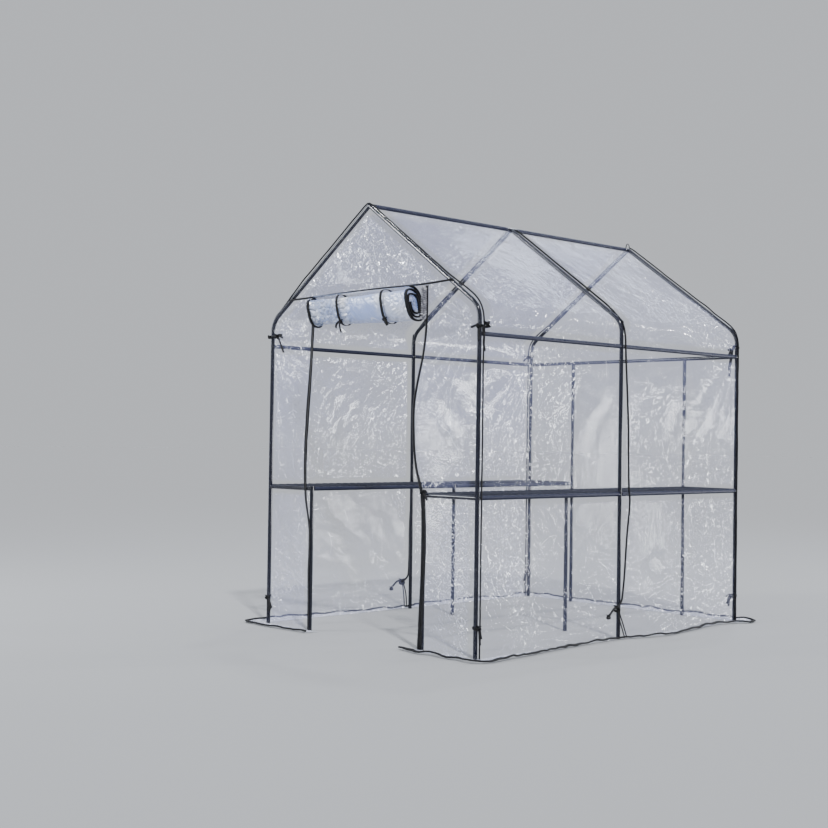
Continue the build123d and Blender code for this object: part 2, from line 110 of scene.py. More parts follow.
@dataclass(frozen=True)
class HoopLine:
    """Outline of the film over a hoop: wall, eave bend, roof slope and the round of the ridge.

    It is read by the distance along the film from the middle of the ridge, which is negative
    on the left side.
    """

    half_span: float
    ridge: float
    bend_start: float
    foot: float
    offset: float
    bend_radius: float = 0.095

    @classmethod
    def read(cls, film_offset: float) -> HoopLine:
        """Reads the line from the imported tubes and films."""
        purlin_low, purlin_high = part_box("right_purlins")
        ridge_low, ridge_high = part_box("ridge_tubes")
        wall_low, wall_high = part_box("right_wall_film")
        return cls(
            half_span=(purlin_low.x + purlin_high.x) / 2,
            ridge=(ridge_low.z + ridge_high.z) / 2,
            bend_start=wall_high.z,
            foot=wall_low.z,
            offset=film_offset,
        )

    @property
    def slope(self) -> float:
        """Roof slope in radians: the line that touches the ridge round and the eave bend."""
        across = self.half_span - self.bend_radius
        rise = self.ridge - self.bend_start
        return math.atan2(rise, across) - math.asin(self.bend_radius / math.hypot(across, rise))

    @property
    def round_length(self) -> float:
        """Film length over half of the ridge."""
        return self.offset * self.slope

    @property
    def roof_length(self) -> float:
        """Film length of one straight roof slope."""
        across = self.half_span - self.bend_radius
        rise = self.ridge - self.bend_start
        return math.sqrt(across**2 + rise**2 - self.bend_radius**2)

    @property
    def bend_length(self) -> float:
        """Film length of one eave bend."""
        return (self.bend_radius + self.offset) * (math.pi / 2 - self.slope)

    @property
    def half_length(self) -> float:
        """Film length from the ridge to the ground."""
        above = self.round_length + self.roof_length + self.bend_length
        return above + self.bend_start - self.foot

    def at_height(self, height: float) -> float:
        """Distance along the film from the ridge to a height on the wall."""
        return self.half_length - (height - self.foot)

    def at(self, along: float) -> tuple[Vector, Vector]:
        """Point of the line and its outward direction.

        Args:
            along: Distance along the film from the ridge, negative on the left side.

        Returns:
            The point and the unit direction, both with Y = 0.
        """
        side = -1.0 if along < 0 else 1.0
        rest = abs(along)
        slope = self.slope
        if rest <= self.round_length:
            turn = rest / self.offset
            x, z = self.offset * math.sin(turn), self.ridge + self.offset * math.cos(turn)
            out = (math.sin(turn), math.cos(turn))
        elif rest <= self.round_length + self.roof_length:
            run = rest - self.round_length
            x = self.offset * math.sin(slope) + run * math.cos(slope)
            z = self.ridge + self.offset * math.cos(slope) - run * math.sin(slope)
            out = (math.sin(slope), math.cos(slope))
        elif rest <= self.round_length + self.roof_length + self.bend_length:
            reach = self.bend_radius + self.offset
            turn = slope + (rest - self.round_length - self.roof_length) / reach
            x = self.half_span - self.bend_radius + reach * math.sin(turn)
            z = self.bend_start + reach * math.cos(turn)
            out = (math.sin(turn), math.cos(turn))
        else:
            x, z = self.half_span + self.offset, self.foot + self.half_length - rest
            out = (1.0, 0.0)
        return Vector((side * x, 0, z)), Vector((side * out[0], 0, out[1]))

    def reach(self, height: float) -> float:
        """Distance from the middle to the film at a height."""
        if height <= self.bend_start:
            return self.half_span + self.offset
        radius = self.bend_radius + self.offset
        if height <= self.bend_start + radius * math.cos(self.slope):
            rise = height - self.bend_start
            return self.half_span - self.bend_radius + math.sqrt(radius**2 - rise**2)
        if height <= self.ridge + self.offset * math.cos(self.slope):
            top = self.ridge + self.offset / math.cos(self.slope)
            return (top - height) / math.tan(self.slope)
        return math.sqrt(max(self.offset**2 - (height - self.ridge) ** 2, 0.0))


@dataclass(frozen=True)
class FramePlaces:
    """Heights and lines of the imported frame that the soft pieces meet."""

    hoop: HoopLine
    front: float
    bay: float
    purlin: float
    shelf: float
    head: float
    inner: float
    tube_radius: float = 0.0095

    @classmethod
    def read(cls) -> FramePlaces:
        """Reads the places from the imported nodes."""
        gable_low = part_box("front_gable_film")[0]
        post_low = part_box("front_right_post")[0]
        purlin_low, purlin_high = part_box("right_purlins")
        rail_low, rail_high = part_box("right_shelf_rails")
        wall_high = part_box("right_wall_film")[1]
        offset = wall_high.x - (purlin_low.x + purlin_high.x) / 2
        return cls(
            hoop=HoopLine.read(offset),
            front=-gable_low.y,
            bay=-post_low.y - cls.tube_radius,
            purlin=(purlin_low.z + purlin_high.z) / 2,
            shelf=(rail_low.z + rail_high.z) / 2,
            head=gable_low.z,
            inner=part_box("right_shelf_posts")[0].x + cls.tube_radius,
        )

    @property
    def upper_tie(self) -> float:
        """Height of the upper corner ties, just under the eave bend."""
        return self.hoop.bend_start - 0.019

    @property
    def wall(self) -> float:
        """Distance from the middle to the outside of a wall film."""
        return self.hoop.half_span + self.hoop.offset


class Coordinates(Enum):
    """What a pattern is laid out on."""

    OBJECT = "Object"
    UV = "UV"


class NodeSheet:
    """A node tree under construction, with short ways to add and join nodes."""

    def __init__(self, tree: bpy.types.NodeTree) -> None:
        """Takes an empty node tree."""
        self.tree = tree

    def add(self, kind: str, **settings: object) -> bpy.types.Node:
        """Adds a node and sets its properties."""
        node = self.tree.nodes.new(kind)
        for name, value in settings.items():
            setattr(node, name, value)
        return node

    def feed(self, socket: bpy.types.NodeSocket, value: object) -> None:
        """Links a socket to another one or sets its plain value."""
        if isinstance(value, bpy.types.NodeSocket):
            self.tree.links.new(value, socket)
        else:
            socket.default_value = value

    def math(self, operation: str, *values: object, clamp: bool = False) -> bpy.types.NodeSocket:
        """Adds a Math node and returns its result."""
        node = self.add("ShaderNodeMath", operation=operation, use_clamp=clamp)
        for socket, value in zip(node.inputs, values):
            self.feed(socket, value)
        return node.outputs[0]

    def ramp(self, value: object, low: float, high: float, start: float, end: float) -> bpy.types.NodeSocket:
        """Maps a value from low..high to start..end, smoothly and without going past."""
        node = self.add("ShaderNodeMapRange", interpolation_type="SMOOTHSTEP", clamp=True)
        for name, item in zip(("Value", "From Min", "From Max", "To Min", "To Max"), (value, low, high, start, end)):
            self.feed(node.inputs[name], item)
        return node.outputs["Result"]

    def noise(self, vector: object, scale: object, detail: float = 3.0, rough: float = 0.55) -> bpy.types.Node:
        """Adds a Noise texture."""
        node = self.add("ShaderNodeTexNoise")
        self.feed(node.inputs["Vector"], vector)
        self.feed(node.inputs["Scale"], scale)
        self.feed(node.inputs["Detail"], detail)
        self.feed(node.inputs["Roughness"], rough)
        return node

    def mix(self, share: object, first: object, second: object) -> bpy.types.NodeSocket:
        """Mixes two colours and returns the colour."""
        node = self.add("ShaderNodeMix", data_type="RGBA")
        self.feed(node.inputs["Factor"], share)
        self.feed(node.inputs[6], first)
        self.feed(node.inputs[7], second)
        return node.outputs[2]

    def coordinates(self, kind: Coordinates) -> bpy.types.NodeSocket:
        """Texture coordinates of a kind."""
        return self.add("ShaderNodeTexCoord").outputs[kind.value]

    def use(self, group: bpy.types.NodeTree, **values: object) -> bpy.types.Node:
        """Places a node group and feeds its inputs by name."""
        node = self.add("ShaderNodeGroup", node_tree=group)
        for name, value in values.items():
            self.feed(node.inputs[name.replace("_", " ")], value)
        return node


class Patterns:
    """Shader node groups that several finishes share, each built once."""

    def __init__(self) -> None:
        """Builds the groups."""
        self.creases = self._creases()
        self.wear = self._wear()
        self.weave = self._weave()

    @staticmethod
    def _group(name: str, inputs: Iterable[tuple[str, str]], outputs: Iterable[tuple[str, str]]) -> tuple[
        bpy.types.NodeTree, NodeSheet, bpy.types.Node, bpy.types.Node
    ]:
        """Starts a group with named sockets and its input and output nodes."""
        tree = bpy.data.node_groups.new(name, "ShaderNodeTree")
        for way, sockets in (("INPUT", inputs), ("OUTPUT", outputs)):
            for label, kind in sockets:
                tree.interface.new_socket(name=label, in_out=way, socket_type=kind)
        sheet = NodeSheet(tree)
        return tree, sheet, sheet.add("NodeGroupInput"), sheet.add("NodeGroupOutput")

    def _creases(self) -> bpy.types.NodeTree:
        """Creases of soft film: brushed hair lines, long folds, short crinkles, glints and slow clouds. The white
        crease marks are partly real crease whitening and partly painted glints and highlight streaks.
        """
        tree, sheet, given, made = self._group(
            "film_creases_and_glints",
            [("Vector", "NodeSocketVector"), ("Scale", "NodeSocketFloat"), ("Crumple", "NodeSocketFloat")],
            [("FoldsAndGlints", "NodeSocketFloat"), ("Clouds", "NodeSocketFloat"), ("Height", "NodeSocketFloat")],
        )
        place, scale, crumple = (given.outputs[name] for name in ("Vector", "Scale", "Crumple"))
        drift = sheet.noise(place, sheet.math("MULTIPLY", scale, 0.5), 1.0)
        moved = sheet.add("ShaderNodeVectorMath", operation="MULTIPLY_ADD")
        sheet.feed(moved.inputs[0], drift.outputs["Color"])
        sheet.feed(moved.inputs[1], (0.05, 0.05, 0.05))
        sheet.feed(moved.inputs[2], place)
        drawn = self._drawn_out(sheet, moved.outputs[0], 3.6)
        brushed = self._drawn_out(sheet, place, 13.0)
        clouds = sheet.noise(place, sheet.math("MULTIPLY", scale, 0.36), 2.5, 0.6).outputs["Fac"]
        rough = sheet.math("ADD", sheet.math("MULTIPLY", crumple, 0.8), clouds)
        breaks = sheet.noise(moved.outputs[0], sheet.math("MULTIPLY", scale, 1.1), 2.0).outputs["Fac"]
        fold_gap = self._cell_edge(sheet, drawn, sheet.math("MULTIPLY", scale, 0.5))
        crinkle_gap = self._cell_edge(sheet, moved.outputs[0], sheet.math("MULTIPLY", scale, 2.3))
        # Hair lines: a real fine bump, and where they whiten the film also painted highlight streaks.
        hair_creases_and_streak_highlights = sheet.noise(brushed, sheet.math("MULTIPLY", scale, 9.0), 2.0).outputs["Fac"]
        # Sparks: painted glints, small white specks put into the film's colour and alpha.
        sparks = sheet.noise(moved.outputs[0], sheet.math("MULTIPLY", scale, 9.5), 1.0).outputs["Fac"]
        broken = sheet.ramp(breaks, 0.50, 0.60, 0.0, 1.0)
        torn = sheet.ramp(sheet.noise(moved.outputs[0], sheet.math("MULTIPLY", scale, 3.1), 1.0).outputs["Fac"],
                          0.50, 0.60, 0.0, 1.0)
        marks = (
            (sheet.ramp(fold_gap, 0.0, 0.012, 1.0, 0.0), sheet.math("MULTIPLY", broken, 0.65)),
            (sheet.ramp(crinkle_gap, 0.0, 0.045, 1.0, 0.0),
             sheet.math("MULTIPLY", torn, sheet.ramp(rough, 0.72, 1.10, 0.0, 0.85))),
            (sheet.ramp(hair_creases_and_streak_highlights, 0.55, 0.70, 0.0, 1.0), sheet.ramp(rough, 0.35, 1.0, 0.14, 0.62)),
            (sheet.ramp(sparks, 0.62, 0.70, 0.0, 1.0), sheet.ramp(rough, 0.72, 1.00, 0.0, 1.0)),
        )
        seen = [sheet.math("MULTIPLY", mark, amount) for mark, amount in marks]
        # The crease whites gather the fold lines, crinkles, painted highlight streaks and painted glints.
        folds = sheet.math("MAXIMUM", sheet.math("MAXIMUM", seen[0], seen[1]), sheet.math("MAXIMUM", seen[2], seen[3]))
        slow = sheet.noise(drawn, scale, 2.0, 0.5).outputs["Fac"]
        facets = sheet.math("MULTIPLY", crinkle_gap, sheet.ramp(rough, 0.50, 1.1, 0.1, 3.2))
        height = sheet.math("ADD", sheet.math("ADD", slow, facets), sheet.math("MULTIPLY", hair_creases_and_streak_highlights, 0.22))
        sheet.feed(made.inputs["FoldsAndGlints"], folds)
        sheet.feed(made.inputs["Clouds"], clouds)
        sheet.feed(made.inputs["Height"], height)
        return tree

    @staticmethod
    def _drawn_out(sheet: NodeSheet, place: object, length: float) -> bpy.types.NodeSocket:
        """Draws a pattern out along the way that the streaks run."""
        node = sheet.add("ShaderNodeMapping", vector_type="TEXTURE")
        sheet.feed(node.inputs["Vector"], place)
        sheet.feed(node.inputs["Rotation"], tuple(STREAK_WAY.to_track_quat("Z", "Y").to_euler()))
        sheet.feed(node.inputs["Scale"], (1.0, 1.0, length))
        return node.outputs["Vector"]

    @staticmethod
    def _cell_edge(sheet: NodeSheet, place: object, scale: object) -> bpy.types.NodeSocket:
        """Distance to the straight edges between random cells."""
        node = sheet.add("ShaderNodeTexVoronoi", feature="DISTANCE_TO_EDGE")
        sheet.feed(node.inputs["Vector"], place)
        sheet.feed(node.inputs["Scale"], scale)
        return node.outputs["Distance"]

    def _wear(self) -> bpy.types.NodeTree:
        """Wear of coated metal: dust in patches, fine pits and rubbed spots."""
        tree, sheet, given, made = self._group(
            "coat_wear",
            [("Vector", "NodeSocketVector"), ("Scale", "NodeSocketFloat"), ("Amount", "NodeSocketFloat")],
            [("Dust", "NodeSocketFloat"), ("Rubbed", "NodeSocketFloat"), ("Height", "NodeSocketFloat")],
        )
        place, scale = given.outputs["Vector"], given.outputs["Scale"]
        patches = sheet.noise(place, scale, 5.0, 0.6)
        dust = sheet.math("MULTIPLY", sheet.ramp(patches.outputs["Fac"], 0.4, 0.75, 0, 1), given.outputs["Amount"])
        spots = sheet.noise(place, sheet.math("MULTIPLY", scale, 9.0), 4.0, 0.7)
        rubbed = sheet.math("MULTIPLY", sheet.ramp(spots.outputs["Fac"], 0.66, 0.8, 0, 1), given.outputs["Amount"])
        pits = sheet.noise(place, sheet.math("MULTIPLY", scale, 60.0), 2.0)
        sheet.feed(made.inputs["Dust"], dust)
        sheet.feed(made.inputs["Rubbed"], rubbed)
        sheet.feed(made.inputs["Height"], pits.outputs["Fac"])
        return tree

    def _weave(self) -> bpy.types.NodeTree:
        """Weave of tape and cord: crossing threads along and across the piece."""
        tree, sheet, given, made = self._group(
            "tape_weave",
            [("Vector", "NodeSocketVector"), ("Threads", "NodeSocketFloat")],
            [("Thread", "NodeSocketFloat"), ("Fade", "NodeSocketFloat"), ("Height", "NodeSocketFloat")],
        )
        place, threads = given.outputs["Vector"], given.outputs["Threads"]
        waves = []
        for direction in ("X", "Y"):
            wave = sheet.add("ShaderNodeTexWave", wave_type="BANDS", bands_direction=direction)
            sheet.feed(wave.inputs["Vector"], place)
            sheet.feed(wave.inputs["Scale"], threads)
            waves.append(wave.outputs["Fac"])
        thread = sheet.math("MULTIPLY", waves[0], waves[1])
        fade = sheet.noise(place, sheet.math("MULTIPLY", threads, 0.2), 3.0)
        sheet.feed(made.inputs["Thread"], thread)
        sheet.feed(made.inputs["Fade"], fade.outputs["Fac"])
        sheet.feed(made.inputs["Height"], thread)
        return tree


def new_material(name: str) -> tuple[bpy.types.Material, NodeSheet, bpy.types.Node]:
    """Starts a material.

    Args:
        name: The material's name.

    Returns:
        The material, its node sheet and its Principled shader.
    """
    material = bpy.data.materials.new(name)
    material.use_nodes = True
    shader = material.node_tree.nodes["Principled BSDF"]
    return material, NodeSheet(material.node_tree), shader


def add_bump(sheet: NodeSheet, shader: bpy.types.Node, height: object, distance: float, strength: float) -> None:
    """Feeds a height through a Bump node to a shader's normal."""
    bump = sheet.add("ShaderNodeBump")
    sheet.feed(bump.inputs["Height"], height)
    sheet.feed(bump.inputs["Distance"], distance)
    sheet.feed(bump.inputs["Strength"], strength)
    sheet.feed(shader.inputs["Normal"], bump.outputs["Normal"])


@dataclass(frozen=True)
class FilmFinish:
    """Clear soft film: glossy, a little hazy, white along its creases with painted glints and highlight streaks among
    the whites, and clear where it lies on a tube.
    """

    name: str
    tint: tuple[float, float, float, float]
    crease_and_glint_white: tuple[float, float, float, float]
    haze: float
    crease_and_glint_alpha: float
    edge_haze: float
    roughness: float
    crease_scale: float
    bump: float
    on_tube: float = 0.07
    cloud_white: float = 0.15

    def material(self, patterns: Patterns) -> bpy.types.Material:
        """Builds the material."""
        material, sheet, shader = new_material(self.name)
        place = sheet.coordinates(Coordinates.OBJECT)
        touch = sheet.add("ShaderNodeAttribute", attribute_name=TOUCH).outputs["Fac"]
        crumple = sheet.add("ShaderNodeAttribute", attribute_name=CRUMPLE).outputs["Fac"]
        creases = sheet.use(patterns.creases, Vector=place, Scale=self.crease_scale, Crumple=crumple)
        folds, clouds = creases.outputs["FoldsAndGlints"], creases.outputs["Clouds"]
        # Painted highlights: the crease whites carry painted glints and streaks, and with the white cloud patches they
        # whiten the base colour.
        milky_and_glint_white = sheet.math("MAXIMUM", folds, sheet.ramp(clouds, 0.42, 0.75, 0.0, self.cloud_white))
        sheet.feed(shader.inputs["Base Color"], sheet.mix(milky_and_glint_white, self.tint, self.crease_and_glint_white))
        rough = sheet.ramp(clouds, 0.3, 0.8, self.roughness, self.roughness * 2.4)
        sheet.feed(shader.inputs["Roughness"], rough)
        facing = sheet.add("ShaderNodeLayerWeight")
        sheet.feed(facing.inputs["Blend"], 0.35)
        edge = sheet.math("MULTIPLY", sheet.math("POWER", facing.outputs["Facing"], 2.0), self.edge_haze)
        # Painted light: the veil mark makes the upper roof and walls hazier, standing in for the bright reflections of
        # the sunlit upper film.
        mark = sheet.add("ShaderNodeAttribute", attribute_name=VEIL).outputs["Fac"]
        haze = sheet.math("MULTIPLY", sheet.ramp(mark, 0, 1, 0.45, 1.55), sheet.ramp(clouds, 0.3, 0.75, 0.82, 1.20))
        veil = sheet.math("ADD", edge, sheet.math("MULTIPLY", haze, self.haze))
        veil = sheet.math("MULTIPLY", veil, sheet.ramp(touch, 0.0, 1.0, 1.0, self.on_tube))
        white = sheet.math("MULTIPLY", folds, self.crease_and_glint_alpha)
        white = sheet.math("MULTIPLY", white, sheet.ramp(touch, 0.0, 1.0, 1.0, 0.9 * self.on_tube))
        inside = sheet.ramp(sheet.add("ShaderNodeNewGeometry").outputs["Backfacing"], 0, 1, 1, 0.55)
        seen = sheet.math("MULTIPLY", sheet.math("ADD", veil, white), inside)
        sheet.feed(shader.inputs["Alpha"], sheet.math("MINIMUM", seen, 1.0))
        sheet.feed(shader.inputs["IOR"], 1.8)
        sheet.feed(shader.inputs["Specular IOR Level"], sheet.ramp(touch, 0.0, 1.0, 1.0, 0.08))
        add_bump(sheet, shader, creases.outputs["Height"], self.bump, 1.0)
        return material


@dataclass(frozen=True)
class CoatFinish:
    """Coated steel or moulded plastic with dust, pits and rubbed spots."""

    name: str
    colour: tuple[float, float, float, float]
    dust: tuple[float, float, float, float]
    rubbed: tuple[float, float, float, float]
    roughness: float
    coat: float
    amount: float
    scale: float = 9.0
    gloss: float = 0.5
    pits: float = 0.0004

    def material(self, patterns: Patterns) -> bpy.types.Material:
        """Builds the material."""
        material, sheet, shader = new_material(self.name)
        place = sheet.coordinates(Coordinates.OBJECT)
        wear = sheet.use(patterns.wear, Vector=place, Scale=self.scale, Amount=self.amount)
        dusty = sheet.mix(wear.outputs["Dust"], self.colour, self.dust)
        sheet.feed(shader.inputs["Base Color"], sheet.mix(wear.outputs["Rubbed"], dusty, self.rubbed))
        rough = sheet.ramp(wear.outputs["Dust"], 0.0, 1.0, self.roughness, self.roughness + 0.2)
        sheet.feed(shader.inputs["Roughness"], rough)
        sheet.feed(shader.inputs["Specular IOR Level"], self.gloss)
        sheet.feed(shader.inputs["Coat Weight"], self.coat)
        sheet.feed(shader.inputs["Coat Roughness"], 0.12)
        add_bump(sheet, shader, wear.outputs["Height"], self.pits, 0.35)
        return material


@dataclass(frozen=True)
class WovenFinish:
    """Woven tape or cord, dull, with a faded bloom on its threads."""

    name: str
    colour: tuple[float, float, float, float]
    faded: tuple[float, float, float, float]
    threads: float
    on: Coordinates = Coordinates.OBJECT

    def material(self, patterns: Patterns) -> bpy.types.Material:
        """Builds the material."""
        material, sheet, shader = new_material(self.name)
        place = sheet.coordinates(self.on)
        weave = sheet.use(patterns.weave, Vector=place, Threads=self.threads)
        fade = sheet.ramp(weave.outputs["Fade"], 0.35, 0.8, 0.0, 1.0)
        lit = sheet.math("MULTIPLY", fade, sheet.math("ADD", weave.outputs["Thread"], 0.35))
        sheet.feed(shader.inputs["Base Color"], sheet.mix(lit, self.colour, self.faded))
        sheet.feed(shader.inputs["Roughness"], sheet.ramp(weave.outputs["Thread"], 0, 1, 0.75, 0.5))
        sheet.feed(shader.inputs["Specular IOR Level"], 0.25)
        add_bump(sheet, shader, weave.outputs["Height"], 0.0006, 0.6)
        return material


class Finishes:
    """The materials of the greenhouse."""

    def __init__(self, patterns: Patterns) -> None:
        """Builds every finish once."""
        self.film = FilmFinish(
            name="clear_film",
            # The blue of this tint is partly the film's own colour and partly painted reflection of a blue sky.
            tint=(0.29, 0.32, 0.60, 1),
            crease_and_glint_white=(0.97, 0.98, 1.0, 1),
            haze=0.165,
            crease_and_glint_alpha=0.70,
            edge_haze=0.40,
            roughness=0.07,
            crease_scale=13.0,
            bump=0.0032,
        ).material(patterns)
        self.flap_film = FilmFinish(
            name="flap_film",
            tint=(0.42, 0.44, 0.56, 1),
            crease_and_glint_white=(0.97, 0.98, 1.0, 1),
            haze=0.42,
            crease_and_glint_alpha=0.5,
            edge_haze=0.4,
            roughness=0.10,
            crease_scale=18.0,
            bump=0.003,
        ).material(patterns)
        self.rolled_film = FilmFinish(
            name="rolled_film",
            tint=(0.34, 0.46, 0.82, 1),
            crease_and_glint_white=(0.98, 0.99, 1.0, 1),
            haze=0.9,
            crease_and_glint_alpha=0.1,
            edge_haze=0.1,
            roughness=0.13,
            crease_scale=15.0,
            bump=0.010,
            # Large white cloud patches on the rolled film, partly painted sunlit brightness.
            cloud_white=1.0,
        ).material(patterns)
        self.tube = CoatFinish(
            name="tube_coat",
            colour=(0.0020, 0.0029, 0.0085, 1),
            dust=(0.012, 0.015, 0.028, 1),
            rubbed=(0.06, 0.07, 0.11, 1),
            roughness=0.13,
            coat=0.20,
            amount=0.12,
            gloss=0.40,
            pits=0.00006,
        ).material(patterns)
        # Painted reflection: the bluer colour of tubes under the film stands in for blue sky reflected in the film
        # that lies over them.
        self.covered_tube = CoatFinish(
            name="covered_tube_painted_sky_blue",
            colour=(0.0034, 0.0054, 0.0225, 1),
            dust=(0.010, 0.013, 0.030, 1),
            rubbed=(0.05, 0.06, 0.12, 1),
            roughness=0.45,
            coat=0.0,
            amount=0.5,
            gloss=0.18,
            scale=26.0,
        ).material(patterns)
        self.wire = CoatFinish(
            name="wire_coat",
            colour=(0.016, 0.018, 0.030, 1),
            dust=(0.04, 0.04, 0.05, 1),
            rubbed=(0.15, 0.15, 0.15, 1),
            roughness=0.5,
            coat=0.0,
            amount=0.25,
            gloss=0.2,
        ).material(patterns)
        self.foot = CoatFinish(
            name="foot_plastic",
            colour=(0.012, 0.012, 0.018, 1),
            dust=(0.11, 0.10, 0.08, 1),
            rubbed=(0.05, 0.05, 0.06, 1),
            roughness=0.5,
            coat=0.0,
            amount=0.8,
        ).material(patterns)
        self.binding = WovenFinish(
            name="black_binding",
            colour=(0.0015, 0.0015, 0.0025, 1),
            faded=(0.014, 0.014, 0.019, 1),
            threads=420.0,
        ).material(patterns)
        self.tape = WovenFinish(
            name="tie_tape",
            colour=(0.0015, 0.0015, 0.0025, 1),
            faded=(0.014, 0.014, 0.020, 1),
            threads=380.0,
        ).material(patterns)
        self.faded_tape = WovenFinish(
            name="faded_tape",
            colour=(0.13, 0.13, 0.15, 1),
            faded=(0.70, 0.70, 0.75, 1),
            threads=300.0,
        ).material(patterns)
        self.rope = WovenFinish(
            name="rope_cord",
            colour=(0.0015, 0.0015, 0.0020, 1),
            faded=(0.018, 0.018, 0.022, 1),
            threads=500.0,
        ).material(patterns)
        self.teeth = CoatFinish(
            name="zip_teeth",
            colour=(0.006, 0.006, 0.008, 1),
            dust=(0.03, 0.03, 0.03, 1),
            rubbed=(0.12, 0.12, 0.12, 1),
            roughness=0.4,
            coat=0.0,
            amount=0.5,
            scale=60.0,
        ).material(patterns)


def finish_piece(
    piece: bpy.types.Object,
    material: bpy.types.Material,
    nodes: Sequence[str] = (),
) -> bpy.types.Object:
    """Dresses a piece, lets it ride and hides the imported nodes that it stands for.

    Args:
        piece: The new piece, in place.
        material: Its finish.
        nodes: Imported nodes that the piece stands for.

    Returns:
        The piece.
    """
    piece.data.materials.clear()
    piece.data.materials.append(material)
    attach(piece, BODY)
    if nodes:
        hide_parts(*nodes)
    return piece


def as_object(name: str, mesh: bmesh.types.BMesh, smooth: bool = True) -> bpy.types.Object:
    """Writes a bmesh into a new object at the origin and frees it."""
    data = bpy.data.meshes.new(name)
    mesh.to_mesh(data)
    mesh.free()
    for face in data.polygons:
        face.use_smooth = smooth
    made = bpy.data.objects.new(name, data)
    bpy.context.scene.collection.objects.link(made)
    return made


def add_grid(
    mesh: bmesh.types.BMesh,
    columns: int,
    rows: int,
    place: Callable[[float, float], Vector],
    uv_size: tuple[float, float] | None = None,
) -> None:
    """Adds a grid whose points are set by a function.

    Args:
        mesh: The mesh that the grid joins.
        columns: Cells across.
        rows: Cells along.
        place: Gives a point for shares from 0 to 1 across and along.
        uv_size: Real width and length for the UV map, or None for no map.
    """
    made = bmesh.ops.create_grid(mesh, x_segments=columns, y_segments=rows, size=0.5)
    layer = mesh.loops.layers.uv.verify() if uv_size else None
    for vertex in made["verts"]:
        across, along = vertex.co.x + 0.5, vertex.co.y + 0.5
        if layer:
            for loop in vertex.link_loops:
                loop[layer].uv = (across * uv_size[0], along * uv_size[1])
        vertex.co = place(across, along)


@dataclass(frozen=True)
class FilmPoint:
    """A point of the film: how closely it lies on a tube, how crumpled and how hazy it is there. The haze mark is
    partly painted light: the upper roof and walls are made hazier for their bright sunlit look.
    """

    place: Vector
    touch: float
    crumple: float
    veil: float = 0.3


def add_film(
    mesh: bmesh.types.BMesh,
    columns: int,
    rows: int,
    place: Callable[[float, float], FilmPoint],
) -> None:
    """Adds a grid of film with its touch, crumple and veil marks.

    Args:
        mesh: The mesh that the grid joins.
        columns: Cells across.
        rows: Cells along.
        place: Gives a film point for shares from 0 to 1 across and along.
    """
    layers = mesh.verts.layers.float
    for name in (TOUCH, CRUMPLE, VEIL):
        if not layers.get(name):
            layers.new(name)
    touch, crumple, veil = (layers.get(name) for name in (TOUCH, CRUMPLE, VEIL))
    made = bmesh.ops.create_grid(mesh, x_segments=columns, y_segments=rows, size=0.5)
    for vertex in made["verts"]:
        point = place(vertex.co.x + 0.5, vertex.co.y + 0.5)
        vertex[touch] = point.touch
        vertex[crumple] = point.crumple
        vertex[veil] = point.veil
        vertex.co = point.place


def add_tape(
    mesh: bmesh.types.BMesh,
    line: Sequence[Vector],
    flat: Callable[[int], Vector],
    width: float | Callable[[int], float],
    thickness: float,
    sides: int = 10,
) -> None:
    """Adds a flat tape with round edges along a line.

    Args:
        mesh: The mesh that the tape joins.
        line: Middle line of the tape.
        flat: Gives the way across the tape's flat side at a point of the line.
        width: Width of the tape, or a function that gives it at a point of the line.
        thickness: Thickness of the tape.
        sides: Points of its cross section.
    """
    last = len(line) - 1
    length = sum((line[i + 1] - line[i]).length for i in range(last))
    width_at = width if callable(width) else lambda i: width

    def place(around: float, share: float) -> Vector:
        """Point of the tape's skin."""
        i = round(share * last)
        ahead = (line[min(i + 1, last)] - line[max(i - 1, 0)]).normalized()
        across = flat(i)
        across = (across - ahead * across.dot(ahead)).normalized()
        turn = 2 * math.pi * around
        cosine, sine = math.cos(turn), math.sin(turn)
        wide = math.copysign(abs(cosine) ** 0.6, cosine) * width_at(i) / 2
        thick = math.copysign(abs(sine) ** 0.6, sine) * thickness / 2
        return line[i] + across * wide + ahead.cross(across) * thick

    before = set(mesh.verts)
    add_grid(mesh, sides, last, place, (2 * width_at(0), length))
    new = [vertex for vertex in mesh.verts if vertex not in before]
    bmesh.ops.remove_doubles(mesh, verts=new, dist=1e-6)
    open_edges = [edge for edge in mesh.edges if edge.is_boundary]
    bmesh.ops.holes_fill(mesh, edges=open_edges, sides=sides)


def along_axis(direction: Vector) -> Callable[[int], Vector]:
    """The same way across for every point of a tape."""
    return lambda i: direction


def tape_piece(name: str, mesh: bmesh.types.BMesh) -> bpy.types.Object:
    """Writes tapes into an object with their faces outward."""
    bmesh.ops.recalc_face_normals(mesh, faces=mesh.faces)
    return as_object(name, mesh)


class Strand(Enum):
    """How a strand's line follows its points."""

    SMOOTH = "NURBS"
    STRAIGHT = "POLY"


def strand_curve(
    name: str,
    points: Sequence[Vector],
    radius: float,
    line: Strand = Strand.SMOOTH,
    sides: int = 2,
    steps: int = 4,
) -> bpy.types.Object:
    """Makes a round cord along points.

    Args:
        name: The curve's name.
        points: Points that the line follows.
        radius: Half the thickness.
        line: How the line follows its points.
        sides: Bevel resolution.
        steps: Steps of the line between points.

    Returns:
        The curve object, not yet a mesh.
    """
    curve = bpy.data.curves.new(name, "CURVE")
    curve.dimensions = "3D"
    curve.bevel_depth = radius
    curve.bevel_resolution = sides
    curve.use_fill_caps = True
    curve.resolution_u = steps
    spline = curve.splines.new(line.value)
    spline.points.add(len(points) - 1)
    for target, point in zip(spline.points, points):
        target.co = (*point, 1)
    if line is Strand.SMOOTH:
        spline.order_u = 3
        spline.use_endpoint_u = True
    made = bpy.data.objects.new(name, curve)
    bpy.context.scene.collection.objects.link(made)
    return made


